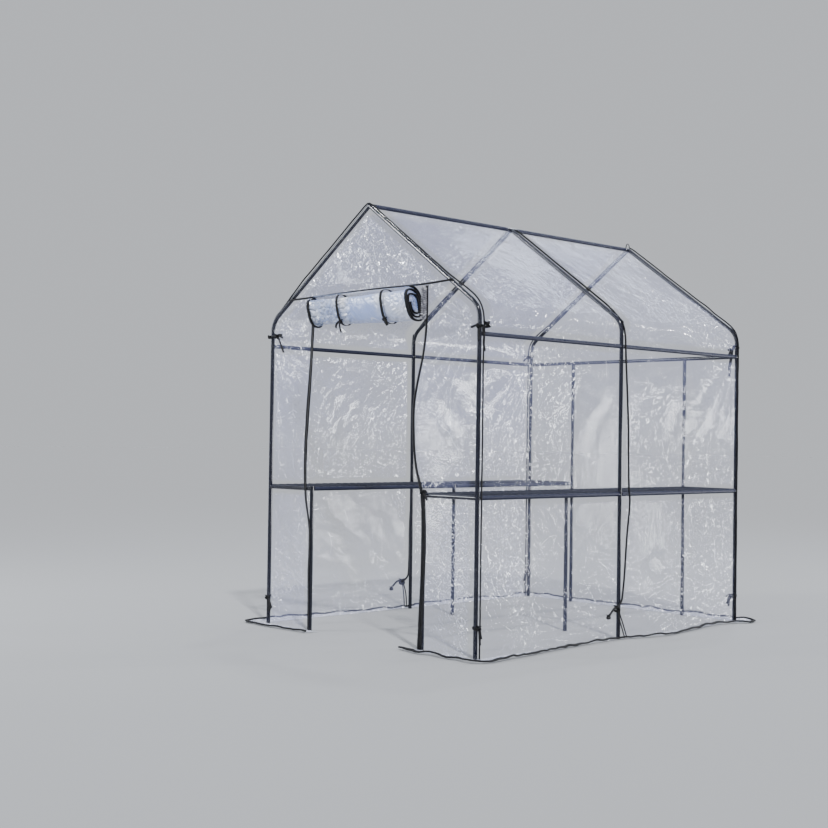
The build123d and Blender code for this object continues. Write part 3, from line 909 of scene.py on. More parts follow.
def join_strands(name: str, strands: Sequence[bpy.types.Object]) -> bpy.types.Object:
    """Turns curves into one mesh piece.

    Args:
        name: The piece's name.
        strands: Curve objects, which are removed.

    Returns:
        The joined mesh object.
    """
    bpy.context.view_layer.update()
    graph = bpy.context.evaluated_depsgraph_get()
    mesh = bmesh.new()
    for strand in strands:
        part = bpy.data.meshes.new_from_object(strand.evaluated_get(graph))
        mesh.from_mesh(part)
        bpy.data.meshes.remove(part)
    for strand in strands:
        bpy.data.objects.remove(strand)
    bmesh.ops.remove_doubles(mesh, verts=mesh.verts, dist=1e-6)
    bmesh.ops.recalc_face_normals(mesh, faces=mesh.faces)
    return as_object(name, mesh)


@dataclass(frozen=True)
class Pull:
    """A tie or corner that pulls the film, with creases that run out from it."""

    across: float
    along: float
    reach: float
    height: float
    rays: int
    turn: float = 0.0

    def lift(self, across: float, along: float) -> float:
        """Height of the rays at a place on the film."""
        dx, dy = across - self.across, along - self.along
        far = math.hypot(dx, dy)
        if far > 4 * self.reach:
            return 0.0
        share = far / self.reach
        angle = math.atan2(dy, dx)
        fan = math.cos(self.rays * angle + self.turn + 2.2 * math.sin(3 * angle + self.turn))
        return self.height * fan * share * math.exp(1 - share)

    def nearness(self, across: float, along: float) -> float:
        """1 at the pull, falling to 0 outside its reach."""
        return math.exp(-math.hypot(across - self.across, along - self.along) / (1.1 * self.reach))


@dataclass(frozen=True)
class Wrinkles:
    """Slack, folds and crumple of a film, as a height over its flat place."""

    seed: float
    slack: float = 0.016
    folds: float = 0.005
    crumple: float = 0.0048
    fine: float = 0.0015
    pulls: tuple[Pull, ...] = ()
    fold_turn: float = 0.6

    def lift(self, across: float, along: float, freedom: float, harder: float = 1.0) -> float:
        """Height of the film at a place.

        Args:
            across: Place across the film.
            along: Place along the film.
            freedom: 0 where tubes or seams hold the film, 1 where it hangs free.
            harder: How much more crumpled it is here than elsewhere.

        Returns:
            The height outwards.
        """
        seed = self.seed
        drift = noise.noise_vector((across * 2.1, along * 2.1, seed))
        wide = noise.noise((across * 1.6, along * 1.4, seed + 3.7))
        turned = across * math.cos(self.fold_turn) + along * math.sin(self.fold_turn)
        fold = noise.noise((turned * 9 + drift.x * 2, along * 2.2 + drift.y, seed + 8.1))
        warped = Vector((across * 12 + drift.x * 0.9, along * 12 + drift.y * 0.9, seed))
        cells = noise.voronoi(warped)[0]
        small = noise.voronoi(warped * 2.4 + Vector((0, 0, 5.0)))[0]
        patch = smooth_step(-0.25, 0.35, noise.noise((across * 2.6, along * 2.6, seed + 17.3)))
        sharp = (cells[1] - cells[0]) * self.crumple * blend(0.35, 1.0, patch) * harder
        fine = (small[1] - small[0]) * self.fine * blend(0.2, 1.0, patch) * harder
        rays = sum(pull.lift(across, along) for pull in self.pulls)
        loose = wide * self.slack + fold * self.folds * harder
        held = 0.18 + 0.82 * freedom
        return loose * freedom + (sharp + fine) * held + abs(rays) * min(1.0, 0.35 + freedom)

    def crumpled(self, across: float, along: float) -> float:
        """How crumpled the film is at a place, from 0 to 1."""
        near = max((pull.nearness(across, along) for pull in self.pulls), default=0.0)
        patch = smooth_step(-0.25, 0.50, noise.noise((across * 2.3, along * 2.3, self.seed + 31.0)))
        return min(1.0, 0.85 * near + 0.50 * patch)


class Studio:
    """Pale floor, soft lights and the camera at the photograph's viewing angle."""

    camera_place = Vector((4.5485, -4.9754, 0.8976))
    camera_yaw = math.radians(46.4245)
    camera_pitch = math.radians(-1.0437)
    camera_roll = math.radians(0.824)
    camera_lens = 59.196
    floor_size = 160.0

    def build(self) -> None:
        """Builds floor, lights, world and camera."""
        self.make_camera()
        self.make_floor()
        self.make_lights()
        self.make_world()

    def make_camera(self) -> None:
        """Sets the camera where the fitted photograph was taken from."""
        yaw, pitch, roll = self.camera_yaw, self.camera_pitch, self.camera_roll
        ahead = Vector((-math.sin(yaw) * math.cos(pitch), math.cos(yaw) * math.cos(pitch), -math.sin(pitch)))
        right = Vector((math.cos(yaw), math.sin(yaw), 0))
        up = right.cross(ahead)
        rolled_right = right * math.cos(roll) + up * math.sin(roll)
        rolled_up = up * math.cos(roll) - right * math.sin(roll)
        turn = Matrix((rolled_right, rolled_up, -ahead)).transposed().to_4x4()
        data = bpy.data.cameras.new("camera")
        data.sensor_fit = "HORIZONTAL"
        data.sensor_width = 36.0
        data.lens = self.camera_lens
        data.clip_end = 300.0
        camera = bpy.data.objects.new("camera", data)
        camera.matrix_world = Matrix.Translation(self.camera_place) @ turn
        bpy.context.scene.collection.objects.link(camera)
        bpy.context.scene.camera = camera

    def make_floor(self) -> None:
        """Lays a wide pale floor."""
        mesh = bmesh.new()
        bmesh.ops.create_grid(mesh, x_segments=2, y_segments=2, size=self.floor_size / 2)
        bmesh.ops.translate(mesh, verts=mesh.verts, vec=(0, 0, -0.0005))
        floor = as_object("studio_floor", mesh, smooth=False)
        material, sheet, shader = new_material("studio_floor")
        sheet.feed(shader.inputs["Base Color"], (0.2702, 0.2748, 0.2826, 1))
        sheet.feed(shader.inputs["Roughness"], 1.0)
        sheet.feed(shader.inputs["Specular IOR Level"], 0.0)
        floor.data.materials.append(material)

    def make_lights(self) -> None:
        """Hangs soft lights round the part, and distant lamps that give the film its glints."""
        for name, place, size, power, colour in (
            ("back_wall_box", (3.4, 4.6, 0.5), (2.4, 1.2), 230, (0.95, 0.97, 1.0)),
            ("front_wall_box", (-3.4, -4.2, 2.6), (1.6, 2.0), 170, (0.90, 0.95, 1.0)),
            ("roof_box", (-1.1, 5.4, 6.4), (3.0, 1.6), 130, (0.80, 0.88, 1.0)),
            ("sky", (0.4, 0.3, 6.4), (3.0, 3.0), 60, (0.78, 0.86, 1.0)),
        ):
            data = bpy.data.lights.new(name, "AREA")
            data.shape = "RECTANGLE"
            data.size, data.size_y = size
            data.energy = power
            data.color = colour
            self.hang(data, Vector(place))
        for name, place, power, spread in (
            ("distant_key", (3.4, -1.9, 5.0), 5.0, 3.5),
            ("distant_back", (2.6, 4.2, 3.4), 0.9, 3.0),
            ("distant_left", (-2.9, -4.35, 3.4), 1.4, 5.0),
            ("distant_top", (-1.2, 2.2, 5.5), 0.6, 3.0),
        ):
            data = bpy.data.lights.new(name, "SUN")
            data.energy = power
            data.angle = math.radians(spread)
            data.color = (0.97, 0.98, 1.0)
            self.hang(data, Vector(place))

    def hang(self, data: bpy.types.Light, place: Vector) -> None:
        """Hangs a light that looks at the middle of the part."""
        light = bpy.data.objects.new(data.name, data)
        light.location = place
        aim = Vector((0, 0, 0.9)) - place
        light.rotation_euler = aim.to_track_quat("-Z", "Y").to_euler()
        light.visible_camera = False
        bpy.context.scene.collection.objects.link(light)

    def make_world(self) -> None:
        """Fills the room with even pale light."""
        world = bpy.data.worlds.new("studio_air")
        world.use_nodes = True
        air = world.node_tree.nodes["Background"]
        air.inputs["Color"].default_value = (0.82, 0.85, 0.90, 1)
        air.inputs["Strength"].default_value = 0.72
        bpy.context.scene.world = world


class TubeFrame:
    """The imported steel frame, which only gets its finish."""

    covered_ends = ("_tubes", "_purlins", "_rails")
    hoop_ends = ("_post", "_rafter", "_joints", "_crossbar", "_crossbars", "_shelf_posts")

    def dress(self, finishes: Finishes) -> int:
        """Gives tubes and foot plugs their finish.

        Returns:
            How many nodes were dressed.
        """
        dressed = 0
        for name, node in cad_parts.items():
            # Tubes under the film get the bluer finish, whose blue is painted sky reflection.
            if name.endswith(self.covered_ends):
                material = finishes.covered_tube
            elif name.endswith(self.hoop_ends):
                material = finishes.tube
            elif name == "foot_plugs":
                material = finishes.foot
            else:
                continue
            node.data.materials.clear()
            node.data.materials.append(material)
            dressed += 1
        return dressed


@dataclass
class ShelfWires:
    """Welded wire shelves: round cross wires over round stringers, ends turned down."""

    places: FramePlaces
    wire: float = 0.0028
    pitch: float = 0.045
    stringers: int = 4
    drop: float = 0.012

    def build(self, finishes: Finishes) -> list[bpy.types.Object]:
        """Builds the wires of the shelves on both sides."""
        return [self.side(side, finishes) for side in ("left", "right")]

    def side(self, side: str, finishes: Finishes) -> bpy.types.Object:
        """Builds the two wire panels of one side."""
        low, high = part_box(f"{side}_shelf_grids")
        mesh = bmesh.new()
        for back in (False, True):
            start = self.end_of_bay(low.y, high.y, back)
            self.panel(mesh, low, high, *start)
        return finish_piece(
            as_object(f"{side}_shelf_wires", mesh), finishes.wire, [f"{side}_shelf_grids"]
        )

    def end_of_bay(self, low: float, high: float, back: bool) -> tuple[float, float]:
        """Start and end of a panel along the bays."""
        gap = self.places.bay + low
        return (gap, high) if back else (low, -gap)

    def rod(self, mesh: bmesh.types.BMesh, start: Vector, end: Vector) -> None:
        """Adds one straight round wire."""
        run = end - start
        turn = run.to_track_quat("Z", "Y").to_matrix().to_4x4()
        middle = Matrix.Translation((start + end) / 2)
        bmesh.ops.create_cone(
            mesh,
            cap_ends=True,
            segments=8,
            radius1=self.wire / 2,
            radius2=self.wire / 2,
            depth=run.length,
            matrix=middle @ turn,
        )

    def panel(self, mesh: bmesh.types.BMesh, low: Vector, high: Vector, start: float, end: float) -> None:
        """Adds one welded panel."""
        top = high.z - self.wire / 2
        under = top - self.wire * 0.75
        count = int((end - start) // self.pitch) + 1
        first = start + self.wire / 2
        step = (end - start - self.wire) / (count - 1)
        for i in range(count):
            y = first + i * step
            self.rod(mesh, Vector((low.x, y, top)), Vector((high.x, y, top)))
        inner = self.places.tube_radius * 2 + 0.006
        for i in range(self.stringers):
            share = i / (self.stringers - 1)
            x = blend(low.x + inner, high.x - inner, share)
            self.rod(mesh, Vector((x, start, under)), Vector((x, end, under)))


@dataclass
class Cover:
    """The film cover: roof and walls in one sheet, front and back gables, and ground flaps."""

    places: FramePlaces
    cell: float = 0.0098
    left_edge: Edge = (
        (0.0, -0.366), (0.25, -0.371), (0.47, -0.369), (0.62, -0.400), (0.83, -0.406),
        (1.07, -0.389), (1.30, -0.371), (1.42, -0.366), (1.555, -0.372),
    )
    right_edge: Edge = (
        (0.0, 0.364), (0.21, 0.374), (0.43, 0.383), (0.652, 0.372), (0.79, 0.333), (0.92, 0.318),
        (1.04, 0.318), (1.14, 0.337), (1.245, 0.367), (1.37, 0.386), (1.555, 0.389),
    )
    side_flap: Edge = (
        (-0.951, 0.098), (-0.90, 0.092), (-0.805, 0.082), (-0.62, 0.060), (-0.40, 0.036), (-0.10, 0.014),
        (0.02, 0.018), (0.196, 0.078), (0.40, 0.062), (0.604, 0.034), (0.80, 0.012), (0.90, 0.040), (0.951, 0.080),
    )
    end_flap: Edge = (
        (-0.70, 0.066), (-0.55, 0.074), (-0.36, 0.062), (0.0, 0.058), (0.30, 0.048), (0.35, 0.060), (0.445, 0.079),
        (0.504, 0.066), (0.593, 0.080), (0.66, 0.066), (0.70, 0.074),
    )
    flap_in_doorway: float = 0.062

    def build(self, finishes: Finishes) -> list[bpy.types.Object]:
        """Builds every sheet of the cover."""
        return [
            self.roof_and_walls(finishes),
            self.front(finishes),
            self.back(finishes),
            self.flaps(finishes),
        ]

    def wall_pulls(self) -> tuple[Pull, ...]:
        """Creases round the corner ties, seen on the roof and wall sheet."""
        hoop, bay = self.places.hoop, self.places.bay
        upper = hoop.at_height(self.places.upper_tie)
        lower = hoop.at_height(0.13)
        pulls = []
        for side in (-1, 1):
            for end in (-1, 1):
                pulls.append(Pull(side * upper, end * bay, 0.16, 0.0065, 11, 0.4 * side + end))
                pulls.append(Pull(side * lower, end * bay, 0.13, 0.0055, 9, 1.3 * side - end))
            pulls.append(Pull(side * hoop.at_height(0.16), 0.0, 0.12, 0.005, 8, 0.7 * side))
            pulls.append(Pull(side * hoop.at_height(self.places.shelf), 0.02, 0.10, 0.004, 9, 2.0))
        return tuple(pulls)

    def freedom(self, along: float, y: float) -> float:
        """How freely the roof and wall sheet hangs at a place."""
        hoop, places = self.places.hoop, self.places
        held = (
            0.0, hoop.at_height(places.purlin), hoop.at_height(places.shelf), hoop.half_length,
        )
        rest = min(abs(along), hoop.half_length - 1e-6)
        zone = max(i for i in range(3) if held[i] <= rest)
        share = (rest - held[zone]) / (held[zone + 1] - held[zone])
        between = abs(math.sin(math.pi * y / places.bay))
        return between**0.6 * math.sin(math.pi * share) ** 0.5

    def nearness(self, wide: float, *distances: float) -> float:
        """How closely the film lies on the nearest of some tubes.

        Args:
            wide: How far the clear band reaches.
            distances: Distances from the tubes' middle lines.

        Returns:
            1 on a tube and 0 away from all of them.
        """
        return smooth_step(wide, 0.5 * wide, min(distances))

    def roof_and_walls(self, finishes: Finishes) -> bpy.types.Object:
        """Builds the sheet that goes up one wall, over the roof and down the other wall."""
        hoop, places = self.places.hoop, self.places
        half, front = hoop.half_length, places.front
        wrinkles = Wrinkles(seed=4.2, pulls=self.wall_pulls())

        purlin, shelf = hoop.at_height(places.purlin), hoop.at_height(places.shelf)

        def place(across: float, share: float) -> FilmPoint:
            """Point of the sheet for shares across its width and along its length."""
            along = blend(-half, half, share)
            y = blend(-front, front, across)
            point, out = hoop.at(along)
            seam = smooth_step(0.0, 0.035, front - abs(y)) * smooth_step(0.0, 0.03, half - abs(along))
            low = smooth_step(0.95, 0.45, point.z) * smooth_step(-0.3, 0.5, y)
            harder = 1.0 + 1.1 * low - 0.35 * smooth_step(1.5, 1.75, point.z)
            lift = wrinkles.lift(y, along, self.freedom(along, y), harder)
            steep = smooth_step(hoop.bend_start + 0.06, hoop.bend_start - 0.02, point.z)
            touch = self.nearness(
                blend(0.085, 0.044, steep),
                max(0.0, places.bay - abs(y)), abs(y), abs(along), abs(abs(along) - purlin), abs(abs(along) - shelf),
            )
            far_back = 0.80 * smooth_step(1.05, 0.8, point.z) * smooth_step(0.1, 0.7, y)
            crumple = min(1.0, wrinkles.crumpled(y, along) + far_back)
            # Painted light: the film is made hazier from about 0.7 m upwards, for the bright sunlit reflections of the
            # upper roof and walls.
            veil = blend(0.15, 1.0, smooth_step(0.70, 1.25, point.z))
            return FilmPoint(point + Vector((0, y, 0)) + out * lift * seam, touch, crumple, veil)

        mesh = bmesh.new()
        add_film(mesh, round(2 * front / self.cell), round(2 * half / self.cell), place)
        bmesh.ops.recalc_face_normals(mesh, faces=mesh.faces)
        piece = as_object("roof_and_walls_film", mesh)
        nodes = [f"{side}_{part}_film" for side in ("left", "right") for part in ("wall", "eave", "roof")]
        finish_piece(piece, finishes.film, nodes)
        return piece

    def end_point(self, wrinkles: Wrinkles, x: float, z: float, end: int) -> FilmPoint:
        """Point of an end sheet, held along its outline and on its posts.

        Args:
            wrinkles: The sheet's wrinkles.
            x: Place across the sheet.
            z: Height.
            end: -1 at the front and 1 at the back.

        Returns:
            The point with its marks.
        """
        hoop, places = self.places.hoop, self.places
        border = hoop.reach(z) - abs(x)
        top = (hoop.ridge - z) * math.cos(hoop.slope)
        seam = smooth_step(0.0, 0.04, border) * smooth_step(0.0, 0.04, z - hoop.foot) * smooth_step(-0.02, 0.05, top)
        freedom = smooth_step(0.0, 0.14, border) * smooth_step(0.0, 0.2, z)
        tilt = blend(1.0, math.sin(hoop.slope), smooth_step(hoop.bend_start, hoop.bend_start + 0.09, z))
        distances = [max(0.0, border * tilt - hoop.offset)]
        post_top = places.purlin if end > 0 else places.shelf
        if z < post_top + 0.03:
            distances.append(math.hypot(abs(x) - places.inner, max(0.0, z - post_top)))
        if abs(x) > places.inner:
            distances.append(abs(z - places.shelf))
        if end > 0:
            distances.append(abs(z - places.purlin))
        lift = wrinkles.lift(x, z, freedom) * seam
        crumple = wrinkles.crumpled(x, z) + 0.35 * smooth_step(1.58, 1.75, z)
        if end < 0:
            sides = min(abs(x - smooth_at(edge, z)) for edge in (self.left_edge, self.right_edge))
            lift *= smooth_step(0.0, 0.05, abs(z - places.head))
            if z < places.head:
                lift *= smooth_step(0.0, 0.06, sides)
        touch = self.nearness(0.044, *distances)
        veil = blend(0.15, 0.45, smooth_step(1.5, 1.65, z))
        return FilmPoint(Vector((x, end * (places.front + lift), z)), touch, min(1.0, crumple), veil)

    def front(self, finishes: Finishes) -> bpy.types.Object:
        """Builds the front: the gable over the door head and a panel beside each free edge."""
        hoop, places = self.places.hoop, self.places
        head = places.head
        corner = places.hoop.half_span
        wrinkles = Wrinkles(
            seed=9.6,
            slack=0.012,
            pulls=(
                Pull(corner, places.upper_tie, 0.17, 0.008, 13, 0.3),
                Pull(-corner, places.upper_tie, 0.15, 0.007, 11, 1.1),
                Pull(corner, 0.13, 0.12, 0.006, 9, 2.2),
                Pull(-corner, 0.13, 0.12, 0.006, 9, 0.2),
                Pull(0.372, places.shelf, 0.10, 0.006, 10, 1.7),
                Pull(0.389, head - 0.01, 0.11, 0.006, 9, 0.9),
                Pull(-0.372, head - 0.01, 0.11, 0.006, 9, 2.9),
                Pull(0.0, hoop.ridge, 0.16, 0.006, 12, 1.9),
            ),
        )

        def film(x: float, z: float) -> FilmPoint:
            """Point of the front sheet."""
            return self.end_point(wrinkles, x, z, -1)

        def left(across: float, up: float) -> FilmPoint:
            """Point of the left panel."""
            z = blend(hoop.foot, head, up)
            return film(blend(-hoop.reach(z), smooth_at(self.left_edge, z), across), z)

        def right(across: float, up: float) -> FilmPoint:
            """Point of the right panel."""
            z = blend(hoop.foot, head, up)
            return film(blend(smooth_at(self.right_edge, z), hoop.reach(z), across), z)

        def gable(start: float, end: float) -> Callable[[float, float], FilmPoint]:
            """Point of the gable between two places on the door head."""
            top = hoop.ridge + hoop.offset

            def point(across: float, up: float) -> FilmPoint:
                """Point of the gable, whose columns draw together towards the ridge."""
                z = blend(head, top, up)
                x = blend(start, end, across) * hoop.reach(z) / hoop.reach(head)
                return film(x, z)

            return point

        rows = round((head - hoop.foot) / self.cell)
        gable_rows = round((hoop.ridge - head) / self.cell)
        reach = hoop.reach(head)
        left_top, right_top = smooth_at(self.left_edge, head), smooth_at(self.right_edge, head)
        side_columns = round(0.315 / self.cell)
        door_columns = round((right_top - left_top) / self.cell)
        mesh = bmesh.new()
        add_film(mesh, side_columns, rows, left)
        add_film(mesh, side_columns, rows, right)
        add_film(mesh, side_columns, gable_rows, gable(-reach, left_top))
        add_film(mesh, door_columns, gable_rows, gable(left_top, right_top))
        add_film(mesh, side_columns, gable_rows, gable(right_top, reach))
        bmesh.ops.remove_doubles(mesh, verts=mesh.verts, dist=2e-5)
        piece = as_object("front_film", mesh)
        finish_piece(
            piece, finishes.film, ["front_gable_film", "front_left_film", "front_right_film"]
        )
        return piece

    def back(self, finishes: Finishes) -> bpy.types.Object:
        """Builds the back wall and gable in one sheet."""
        hoop, places = self.places.hoop, self.places
        corner = hoop.half_span
        wrinkles = Wrinkles(
            seed=14.9,
            slack=0.014,
            pulls=(
                Pull(corner, places.upper_tie, 0.17, 0.007, 12, 0.8),
                Pull(-corner, places.upper_tie, 0.16, 0.007, 11, 2.1),
                Pull(corner, 0.13, 0.13, 0.006, 9, 0.2),
                Pull(-corner, 0.13, 0.13, 0.006, 9, 1.2),
                Pull(0.0, hoop.ridge, 0.16, 0.005, 12, 0.1),
            ),
        )
        top = hoop.ridge + hoop.offset

        def place(across: float, up: float) -> FilmPoint:
            """Point of the back sheet."""
            z = blend(hoop.foot, top, up)
            return self.end_point(wrinkles, blend(-1, 1, across) * hoop.reach(z), z, 1)

        mesh = bmesh.new()
        add_film(mesh, round(2 * places.wall / self.cell), round(top / self.cell), place)
        bmesh.ops.reverse_faces(mesh, faces=mesh.faces)
        bmesh.ops.remove_doubles(mesh, verts=mesh.verts, dist=2e-5)
        piece = as_object("back_wall_film", mesh)
        finish_piece(piece, finishes.film, ["back_film"])
        return piece

    def flap_stations(self) -> list[tuple[Vector, Vector]]:
        """Places along the foot of the cover with the way outwards, round all corners."""
        wall, front = self.places.wall, self.places.front
        corners = [Vector((wall, -front, 0)), Vector((wall, front, 0)), Vector((-wall, front, 0)),
                   Vector((-wall, -front, 0))]
        inside = Vector((self.flap_in_doorway, 0, 0))
        start = Vector((self.right_edge[0][1], -front, 0)) - inside
        ends = [start, *corners, Vector((self.left_edge[0][1], -front, 0)) + inside]
        step, fan = 0.011, 9
        stations: list[tuple[Vector, Vector]] = []
        for i in range(len(ends) - 1):
            start, end = ends[i], ends[i + 1]
            run = (end - start).normalized()
            out = Vector((run.y, -run.x, 0))
            count = round((end - start).length / step)
            stations += [(start.lerp(end, k / count), out) for k in range(count + 1)]
            if i < len(ends) - 2:
                following = (ends[i + 2] - end).normalized()
                turned = Vector((following.y, -following.x, 0))
                stations += [(end, out.lerp(turned, k / fan).normalized()) for k in range(1, fan)]
        return stations

    def flap_point(self, station: tuple[Vector, Vector], share: float) -> Vector:
        """Point of the ground flap.

        Args:
            station: A place on the foot line and the way outwards.
            share: 0 at the wall and 1 at the hem.

        Returns:
            The point, on the ground or rumpled just over it.
        """
        foot, out = station
        side_width = smooth_at(self.side_flap, foot.y)
        end_width = smooth_at(self.end_flap, foot.x)
        ways = abs(out.x) / (abs(out.x) + abs(out.y))
        mitre = 1 / max(abs(out.x), abs(out.y))
        width = blend(end_width, side_width, ways) * blend(1.0, mitre, 0.55)
        width += 0.006 * noise.noise((foot.x * 9 + out.x, foot.y * 9 + out.y, 6.4))
        side = Vector((-out.y, out.x, 0)) * 0.006 * noise.noise((foot.x * 7, foot.y * 7, 9.0)) * share
        rumple = abs(noise.noise((foot.x * 13 + out.x, foot.y * 13 + out.y, 2.0 + share * 1.5)))
        height = 0.0022 + share * (0.003 + 0.026 * rumple * max(0.0, 1 - 0.5 * share))
        return foot + out * width * share + side + Vector((0, 0, height))

    def flaps(self, finishes: Finishes) -> bpy.types.Object:
        """Builds the flap that spreads on the ground from the foot of the cover."""
        stations = self.flap_stations()
        last = len(stations) - 1
        rows = 8

        def place(share: float, across: float) -> FilmPoint:
            """Point of the flap for shares along the foot line and outwards."""
            return FilmPoint(self.flap_point(stations[round(share * last)], across), 0.0, 0.8, 0.6)

        mesh = bmesh.new()
        add_film(mesh, last, rows, place)
        bmesh.ops.recalc_face_normals(mesh, faces=mesh.faces)
        piece = as_object("ground_flap_film", mesh)
        finish_piece(piece, finishes.flap_film, ["ground_flaps"])
        widths = [smooth_at(self.side_flap, foot.y) if abs(out.x) > abs(out.y) else smooth_at(self.end_flap, foot.x)
                  for foot, out in stations]
        return piece


@dataclass
class Bindings:
    """Black piping, seams, zip edges and the hem of the cover."""

    places: FramePlaces
    cover: Cover
    piping: float = 0.0036
    setback: float = 0.016
    roof_setback: float = 0.004
    tape_thickness: float = 0.0024
    left_tape: Edge = ((0.0, 0.010), (0.60, 0.012), (0.75, 0.018), (1.20, 0.018), (1.55, 0.015))
    right_tape: Edge = ((0.0, 0.011), (0.60, 0.010), (0.75, 0.011), (1.30, 0.010), (1.55, 0.013))
    right_parting: Edge = ((0.0, 0.014), (0.55, 0.013), (0.66, 0.008), (0.76, 0.0))
    hem_width: float = 0.013
    hem_thickness: float = 0.008

    def build(self, finishes: Finishes) -> list[bpy.types.Object]:
        """Builds all bindings."""
        return [
            self.gable_piping("front", -1, finishes),
            self.gable_piping("back", 1, finishes),
            self.door_seam(finishes),
            self.zip_edges(finishes),
            self.zip_teeth(finishes),
            self.hem(finishes),
        ]

    def gable_piping(self, name: str, end: int, finishes: Finishes) -> bpy.types.Object:
        """Builds the piping that follows the gable seam, a little slack round the eaves."""
        hoop = self.places.hoop
        count = 130
        points = []
        for i in range(count + 1):
            along = blend(-hoop.half_length, hoop.half_length, i / count)
            point, out = hoop.at(along)
            eave = smooth_step(0.30, 0.0, abs(point.z - self.places.hoop.bend_start - 0.06))
            wave = noise.noise((along * 7.0, end * 3.3, 1.7))
            ripple = noise.noise((along * 22.0, end * 5.1, 4.7))
            setback = self.setback * smooth_step(1.62, 1.46, point.z) + self.roof_setback
            y = end * (self.places.front - setback) - end * (0.002 * wave + 0.012 * eave * wave)
            lift = self.piping + 0.0004 + 0.003 * abs(ripple) + 0.014 * eave * abs(wave)
            points.append(point + out * lift + Vector((0, y, 0)))
        strand = strand_curve("piping", points, self.piping, sides=3, steps=2)
        piece = join_strands(f"{name}_seam_piping", [strand])
        return finish_piece(piece, finishes.binding, [f"{name}_gable_piping"])

    def door_seam(self, finishes: Finishes) -> bpy.types.Object:
        """Builds the corded seam over the doorway, pulled down where the roll hangs."""
        low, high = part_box("door_head_piping")
        y, z = (low.y + high.y) / 2, (low.z + high.z) / 2
        sag = ((low.x, -0.011), (-0.18, -0.002), (0.093, 0.002), (0.389, -0.001), (high.x, 0.009))
        points = [Vector((x, y, z + drop)) for x, drop in sag]
        piece = join_strands("door_seam_piping", [strand_curve("seam", points, 0.0045, sides=3, steps=10)])
        return finish_piece(piece, finishes.binding, ["door_head_piping"])

    def edge_points(self, edge: Edge, shift: float, top: float, wave: float) -> list[Vector]:
        """Points down a free edge of the doorway.

        Args:
            edge: The edge line.
            shift: Distance of the points to the right of the edge.
            top: Height where the line starts.
            wave: Height of the ripples towards the front.

        Returns:
            Points from the top to the ground.
        """
        count = 44
        foot = self.places.hoop.foot
        points = []
        for i in range(count + 1):
            z = blend(top, foot, i / count)
            ripple = noise.noise((z * 8.0, shift * 40, edge[0][1] * 9))
            y = -self.places.front - 0.0022 - wave * abs(ripple)
            points.append(Vector((smooth_at(edge, z) + shift, y, z)))
        return points

    def zip_edges(self, finishes: Finishes) -> bpy.types.Object:
        """Builds the zip tapes sewn to the two free edges."""
        top = self.places.head - 0.004
        mesh = bmesh.new()
        left, right = self.cover.left_edge, self.cover.right_edge
        for edge, tape, side, parting in (
            (left, self.left_tape, -1, None),
            (right, self.right_tape, 1, None),
            (right, self.right_tape, 1, self.right_parting),
        ):
            line = self.edge_points(edge, side * 0.004, top, 0.003)
            if parting:
                line = [point + Vector((smooth_at(parting, point.z), 0, 0)) for point in line if point.z < 0.76]
            widths = [smooth_at(tape, point.z) for point in line]
            curl = [abs(noise.noise((point.z * 5.0, side * 2.2, 0.7))) for point in line]
            add_tape(
                mesh, line, lambda i, curl=curl: Vector((1.0, 0.15 + 0.6 * curl[i], 0.0)),
                lambda i, widths=widths: widths[i], self.tape_thickness,
            )
        piece = tape_piece("door_zip_edges", mesh)
        return finish_piece(piece, finishes.binding, ["door_zip_tapes"])

    def zip_teeth(self, finishes: Finishes) -> bpy.types.Object:
        """Builds the rows of zip teeth as a fine chain along each free edge."""
        mesh = bmesh.new()
        top = self.places.head - 0.006
        pitch = 0.0045
        for edge, side in ((self.cover.left_edge, -1), (self.cover.right_edge, 1)):
            count = int((top - self.places.hoop.foot) / pitch)
            for i in range(count):
                z = top - i * pitch
                x = smooth_at(edge, z) - side * 0.0005
                ripple = noise.noise((z * 8.0, side * 0.0055 * 40, edge[0][1] * 9))
                y = -self.places.front - 0.0045 - 0.004 * abs(ripple)
                spot = Matrix.Translation((x, y, z)) @ Matrix.Diagonal((0.0036, 0.0022, 0.0026, 1))
                bmesh.ops.create_cube(mesh, size=1.0, matrix=spot)
        piece = as_object("door_zip_teeth", mesh, smooth=False)
        return finish_piece(piece, finishes.teeth)

    def hem(self, finishes: Finishes) -> bpy.types.Object:
        """Builds the binding folded over the outer edge of the ground flap."""
        stations = self.cover.flap_stations()[::2]
        lift = Vector((0, 0, self.hem_thickness / 2 - 0.001))
        line = [self.cover.flap_point(station, 1.0) + lift for station in stations]
        mesh = bmesh.new()

        def flat(i: int) -> Vector:
            """Way across the binding, a little tipped here and there."""
            point, out = line[i], stations[i][1]
            return out + Vector((0, 0, 0.9 * noise.noise((point.x * 6.0, point.y * 6.0, 3.9))))

        add_tape(mesh, line, flat, self.hem_width, self.hem_thickness)
        piece = tape_piece("flap_hem_binding", mesh)
        return finish_piece(piece, finishes.binding, ["hem_bindings"])


